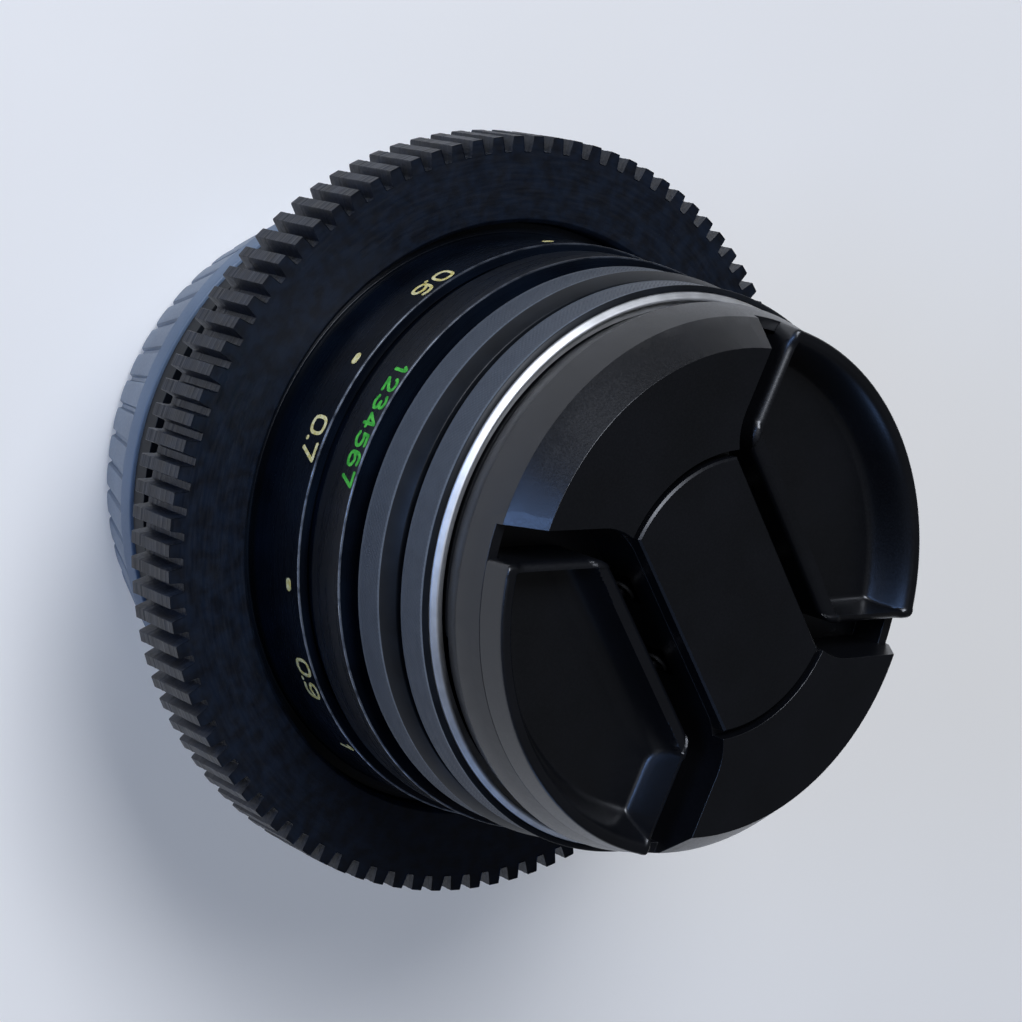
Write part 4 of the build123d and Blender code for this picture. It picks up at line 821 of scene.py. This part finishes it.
for lever, way in LEVERS:
    for row, y in (("upper", SPRING_SIDE), ("lower", -SPRING_SIDE)):
        spring = grid_piece(
            f"{lever}_spring_{row}",
            [coil(way, y)],
            None,
            blackened_steel,
            ("cap_springs",),
            loop=False,
        )
        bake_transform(spring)

# Engraved figures: single strokes cut by a round-ended tool, in a cell 1 high and 0.8 wide
STROKES = {
    "0": [[(0, 0.3), (0, 0.7), (0.12, 0.93), (0.4, 1), (0.68, 0.93), (0.8, 0.7), (0.8, 0.3),
           (0.68, 0.07), (0.4, 0), (0.12, 0.07), (0, 0.3)]],
    "1": [[(0.2, 0.78), (0.42, 1), (0.42, 0)]],
    "2": [[(0.02, 0.76), (0.14, 0.94), (0.4, 1), (0.68, 0.92), (0.76, 0.7), (0.62, 0.45), (0, 0)],
          [(0, 0), (0.8, 0)]],
    "3": [[(0.04, 0.88), (0.36, 1), (0.7, 0.9), (0.72, 0.66), (0.36, 0.54)],
          [(0.36, 0.54), (0.74, 0.42), (0.76, 0.14), (0.4, 0), (0.04, 0.12)]],
    "4": [[(0.6, 0), (0.6, 1)], [(0.6, 1), (0, 0.3)], [(0, 0.3), (0.8, 0.3)]],
    "5": [[(0.72, 1), (0.12, 1)], [(0.12, 1), (0.06, 0.56)],
          [(0.06, 0.56), (0.4, 0.66), (0.74, 0.54), (0.78, 0.2), (0.4, 0), (0.02, 0.1)]],
    "6": [[(0.7, 0.94), (0.4, 1), (0.1, 0.86), (0, 0.5), (0.06, 0.12), (0.4, 0), (0.74, 0.1),
           (0.78, 0.4), (0.44, 0.58), (0.02, 0.42)]],
    "7": [[(0, 1), (0.8, 1)], [(0.8, 1), (0.28, 0)]],
    "8": [[(0.4, 0.54), (0.06, 0.68), (0.1, 0.94), (0.4, 1), (0.7, 0.94), (0.74, 0.68),
           (0.4, 0.54), (0, 0.38), (0.06, 0.08), (0.4, 0), (0.74, 0.08), (0.8, 0.38), (0.4, 0.54)]],
    "9": [[(0.1, 0.06), (0.4, 0), (0.7, 0.14), (0.8, 0.5), (0.74, 0.88), (0.4, 1), (0.06, 0.9),
           (0.02, 0.6), (0.36, 0.42), (0.78, 0.58)]],
    ".": [[(0.08, 0.02), (0.12, 0.02)]],
    "~": [[(0, 0.5), (0.3, 0.74), (0.55, 0.5), (0.8, 0.26), (1.1, 0.5), (0.8, 0.74), (0.55, 0.5),
           (0.3, 0.26), (0, 0.5)]],
}
ADVANCE = {".": 0.3, "1": 0.75, "~": 1.2}
DIGIT_ADVANCE = 1.02
DIGIT_GAP = 0.22
TIP_STEPS = 4
TIP_START = 0.2


def ribbon(path, width):
    """The two edges of a stroke: a smooth cubic curve through its points, moved half the width to
    either side, with half-circle ends. On each stretch the curve leaves a point along the line
    between that point's two neighbours."""
    path = np.array(path, float)
    if len(path) > 2:
        closed = np.allclose(path[0], path[-1])
        first = path[-2] if closed else 2 * path[0] - path[1]
        last = path[1] if closed else 2 * path[-1] - path[-2]
        knots = np.vstack([first, path, last])
        t = np.linspace(0, 1, 5, endpoint=False)[None, :, None]
        p0, p1, p2, p3 = (knots[k : len(path) - 1 + k][:, None] for k in range(4))
        curve = 0.5 * (
            2 * p1 + (p2 - p0) * t + (2 * p0 - 5 * p1 + 4 * p2 - p3) * t**2
            + (3 * p1 - p0 - 3 * p2 + p3) * t**3
        )
        path = np.vstack([curve.reshape(-1, 2), path[-1:]])
    way = np.gradient(path, axis=0)
    way = way / np.linalg.norm(way, axis=1, keepdims=True)
    half = width / 2
    bend = np.linspace(TIP_START, np.pi / 2, TIP_STEPS, endpoint=False)[:, None]
    tip = path[0] - way[0] * half * np.cos(bend)
    tail = (path[-1] + way[-1] * half * np.cos(bend))[::-1]
    centre = np.vstack([tip, path, tail])
    reach = half * np.vstack([np.sin(bend), np.ones((len(path), 1)), np.sin(bend)[::-1]])
    ways = np.vstack([np.repeat(way[:1], TIP_STEPS, 0), way, np.repeat(way[-1:], TIP_STEPS, 0)])
    normal = np.stack([-ways[:, 1], ways[:, 0]], 1)
    return centre + normal * reach, centre - normal * reach


def strokes_of(text):
    """The paths of a text, centred on the origin, in figure heights."""
    step = [ADVANCE.get(character, DIGIT_ADVANCE) for character in text]
    pens = np.cumsum([0] + step[:-1]) - (sum(step) - DIGIT_GAP) / 2
    return [
        [(x + pen, y - 0.5) for x, y in path]
        for character, pen in zip(text, pens)
        for path in STROKES[character]
    ]


PAINT_LIFT = 0.02
PAINT_DEPTH = 0.2


def engraved(name, marks, body, material, stroke):
    """Paint in a cylinder's engraved marks. Each mark is (paths, angle, height, size, radius):
    its middle lies at the angle and height, its x runs round and its y runs along Z. Each stroke
    is a closed bar of that width, from just above the surface to below it."""
    verts, faces, count = [], [], 0
    for paths, angle, height, size, radius in marks:
        for path in paths:
            left, right = ribbon(path, stroke / size)
            for level in (PAINT_LIFT, -PAINT_DEPTH):
                for side in (left, right):
                    around = np.radians(angle) + side[:, 0] * size / radius
                    r = radius + level
                    points = (r * np.cos(around), r * np.sin(around), height + side[:, 1] * size)
                    verts.append(np.stack(points, 1))
            n = len(left)
            k = np.arange(n - 1)
            top_l, top_r, low_l, low_r = (count + j * n + k for j in range(4))
            for a, b in ((top_r, top_l), (low_l, low_r), (top_l, low_l), (low_r, top_r)):
                faces.append(np.stack([a, b, b + 1, a + 1], 1))
            ends = count + np.array([[0, n, 3 * n, 2 * n], [n, 0, 2 * n, 3 * n]])
            ends[1] += n - 1
            faces.append(ends)
            count += 4 * n
    mesh = bpy.data.meshes.new(name)
    mesh.from_pydata(np.vstack(verts) * MM, [], np.vstack(faces).tolist())
    piece_of(name, mesh, body, material)


SLEEVE_R = 29.9
FRONT_BARREL_R = 29.3
INDEX_BAND_R = 30.8
# The angle of the index, and of each scale's first figure when the rings are at rest
INDEX = 172.0
APERTURE_STEP = 10
FIGURE_Z = 41.5
FIGURE_SIZE = 2.02
GREEN_START = -72.1
GREEN_STEP = 3.84
DOT = [[(-0.13, 0), (0.13, 0)]]
DEPTH_LINE = [[(0, -0.5), (0, 0.5)]]
# The sign ~ stands for infinity, and is drawn as a figure eight that lies down
distances = {
    "~": INDEX, "5": 139.8, "3": 118.3, "2": 91.4, "1.5": 64.5, "1.2": 37.7, "1": 9.9, "0.9": -6.9,
    "0.7": -54.2, "0.6": -92.4, "0.5": -150.4,
}
dot_angles = (-120.1, -71.0, -26.3, 51.0, 78.0, 105.0)
engraved(
    "distance_scale",
    [
        (strokes_of(text), angle, FIGURE_Z, FIGURE_SIZE, SLEEVE_R)
        for text, angle in distances.items()
    ],
    "focus_ring",
    yellow_paint,
    stroke=0.38,
)
engraved(
    "distance_dots",
    [(DOT, angle, FIGURE_Z, FIGURE_SIZE, SLEEVE_R) for angle in dot_angles],
    "focus_ring",
    yellow_paint,
    stroke=0.8,
)
engraved(
    "green_figures",
    [
        (strokes_of(str(k + 1)), GREEN_START + GREEN_STEP * k, 48.2, 1.62, FRONT_BARREL_R)
        for k in range(7)
    ],
    "optical_block",
    green_paint,
    stroke=0.36,
)
engraved(
    "depth_scale",
    [
        (DEPTH_LINE, INDEX + turn, 46.0, 1.2, FRONT_BARREL_R)
        for turn in (-24, -16, -8, -4, 4, 8, 16, 24)
    ]
    + [(DEPTH_LINE, INDEX, 46.3, 2.2, FRONT_BARREL_R)],
    "optical_block",
    white_paint,
    stroke=0.3,
)
apertures = ("2", "2.8", "4", "5.6", "8", "11", "16")
engraved(
    "aperture_scale",
    [
        (strokes_of(text), INDEX - APERTURE_STEP * k, 21.9, 1.7, FIGURE_BAND_R)
        for k, text in enumerate(apertures)
    ],
    "aperture_ring",
    white_paint,
    stroke=0.32,
)
engraved(
    "aperture_index",
    [(DEPTH_LINE, INDEX, 25.0, 1.6, INDEX_BAND_R)],
    "fixed_barrel",
    white_paint,
    stroke=0.4,
)

# Floor, lamps and camera
FLOOR_REACH = 3
FLOOR_GLOW = 0.25
floor_corners = [
    (x * FLOOR_REACH, y * FLOOR_REACH, 0) for x, y in ((-1, -1), (1, -1), (1, 1), (-1, 1))
]
floor_mesh = bpy.data.meshes.new("floor")
floor_mesh.from_pydata(floor_corners, [], [(0, 1, 2, 3)])
# Matt emulsion paint: pale and even; the camera, reflections and glass see it a little lighter
floor_paint = finish("matt_floor_paint", "#E6E1D9", "#E9E4DC", (0.85, 0.95), 60, 5, 0.0)
tree = floor_paint.node_tree
rays = node(tree, "ShaderNodeLightPath").node.outputs
seen = node(
    tree,
    "ShaderNodeMath",
    {"operation": "ADD"},
    {0: rays["Is Camera Ray"], 1: rays["Is Glossy Ray"]},
)
seen = node(tree, "ShaderNodeMath", {"operation": "ADD"}, {0: seen, 1: rays["Is Transmission Ray"]})
glow = node(
    tree, "ShaderNodeMath", {"operation": "MULTIPLY", "use_clamp": True}, {0: seen, 1: FLOOR_GLOW}
)
shader = tree.nodes["Principled BSDF"]
shader.inputs["Emission Color"].default_value = linear("#E9EEF6")
tree.links.new(glow, shader.inputs["Emission Strength"])
floor_mesh.materials.append(floor_paint)
floor = bpy.data.objects.new("floor", floor_mesh)
scene.collection.objects.link(floor)

LENS_MIDDLE = Vector((0, 0, 0.04))
LAMP_DISTANCE = 0.9


def softbox(name, azimuth, elevation, size, power, colour):
    """A square lamp that faces the lens from a direction in degrees, in metres and watts."""
    lamp = bpy.data.lights.new(name, "AREA")
    lamp.shape = "SQUARE"
    lamp.size = size
    lamp.energy = power
    lamp.color = linear(colour)[:3]
    holder = bpy.data.objects.new(name, lamp)
    around, above = np.radians(azimuth), np.radians(elevation)
    way = Vector(
        (np.cos(around) * np.cos(above), np.sin(around) * np.cos(above), np.sin(above))
    )
    holder.location = LENS_MIDDLE + way * LAMP_DISTANCE
    holder.rotation_euler = (-way).to_track_quat("-Z", "Y").to_euler()
    scene.collection.objects.link(holder)


softbox("window", -105, 50, 0.4, 7.2, "#EAF1FF")
softbox("left_side", -46, 23, 0.28, 2.2, "#8FB8FF")
softbox("low_front", 45, 8, 0.2, 0.5, "#8FB8FF")

world = bpy.data.worlds.new("studio")
world.use_nodes = True
scene.world = world
world.node_tree.nodes["Background"].inputs["Color"].default_value = linear("#C8CCD4")
world.node_tree.nodes["Background"].inputs["Strength"].default_value = 0.1

# The camera, fitted to the rings' circles: its place in metres and the way its frame lies
CAMERA_PLACE = (0.109889, -0.134293, 0.25496)
CAMERA_RIGHT = Vector((-0.7139, 0.3754, 0.5911))
CAMERA_UP = Vector((-0.5768, -0.7939, -0.1925))
camera_data = bpy.data.cameras.new("camera")
camera_data.lens = 94.37
camera_data.sensor_width = 36.0
camera_data.clip_start = 0.01
camera_data.clip_end = 20.0
camera = bpy.data.objects.new("camera", camera_data)
back = CAMERA_RIGHT.cross(CAMERA_UP)
camera_turn = Matrix((CAMERA_RIGHT, CAMERA_UP, back)).transposed().to_4x4()
camera.matrix_world = Matrix.Translation(CAMERA_PLACE) @ camera_turn
scene.collection.objects.link(camera)
scene.camera = camera
scene.view_settings.view_transform = "Standard"
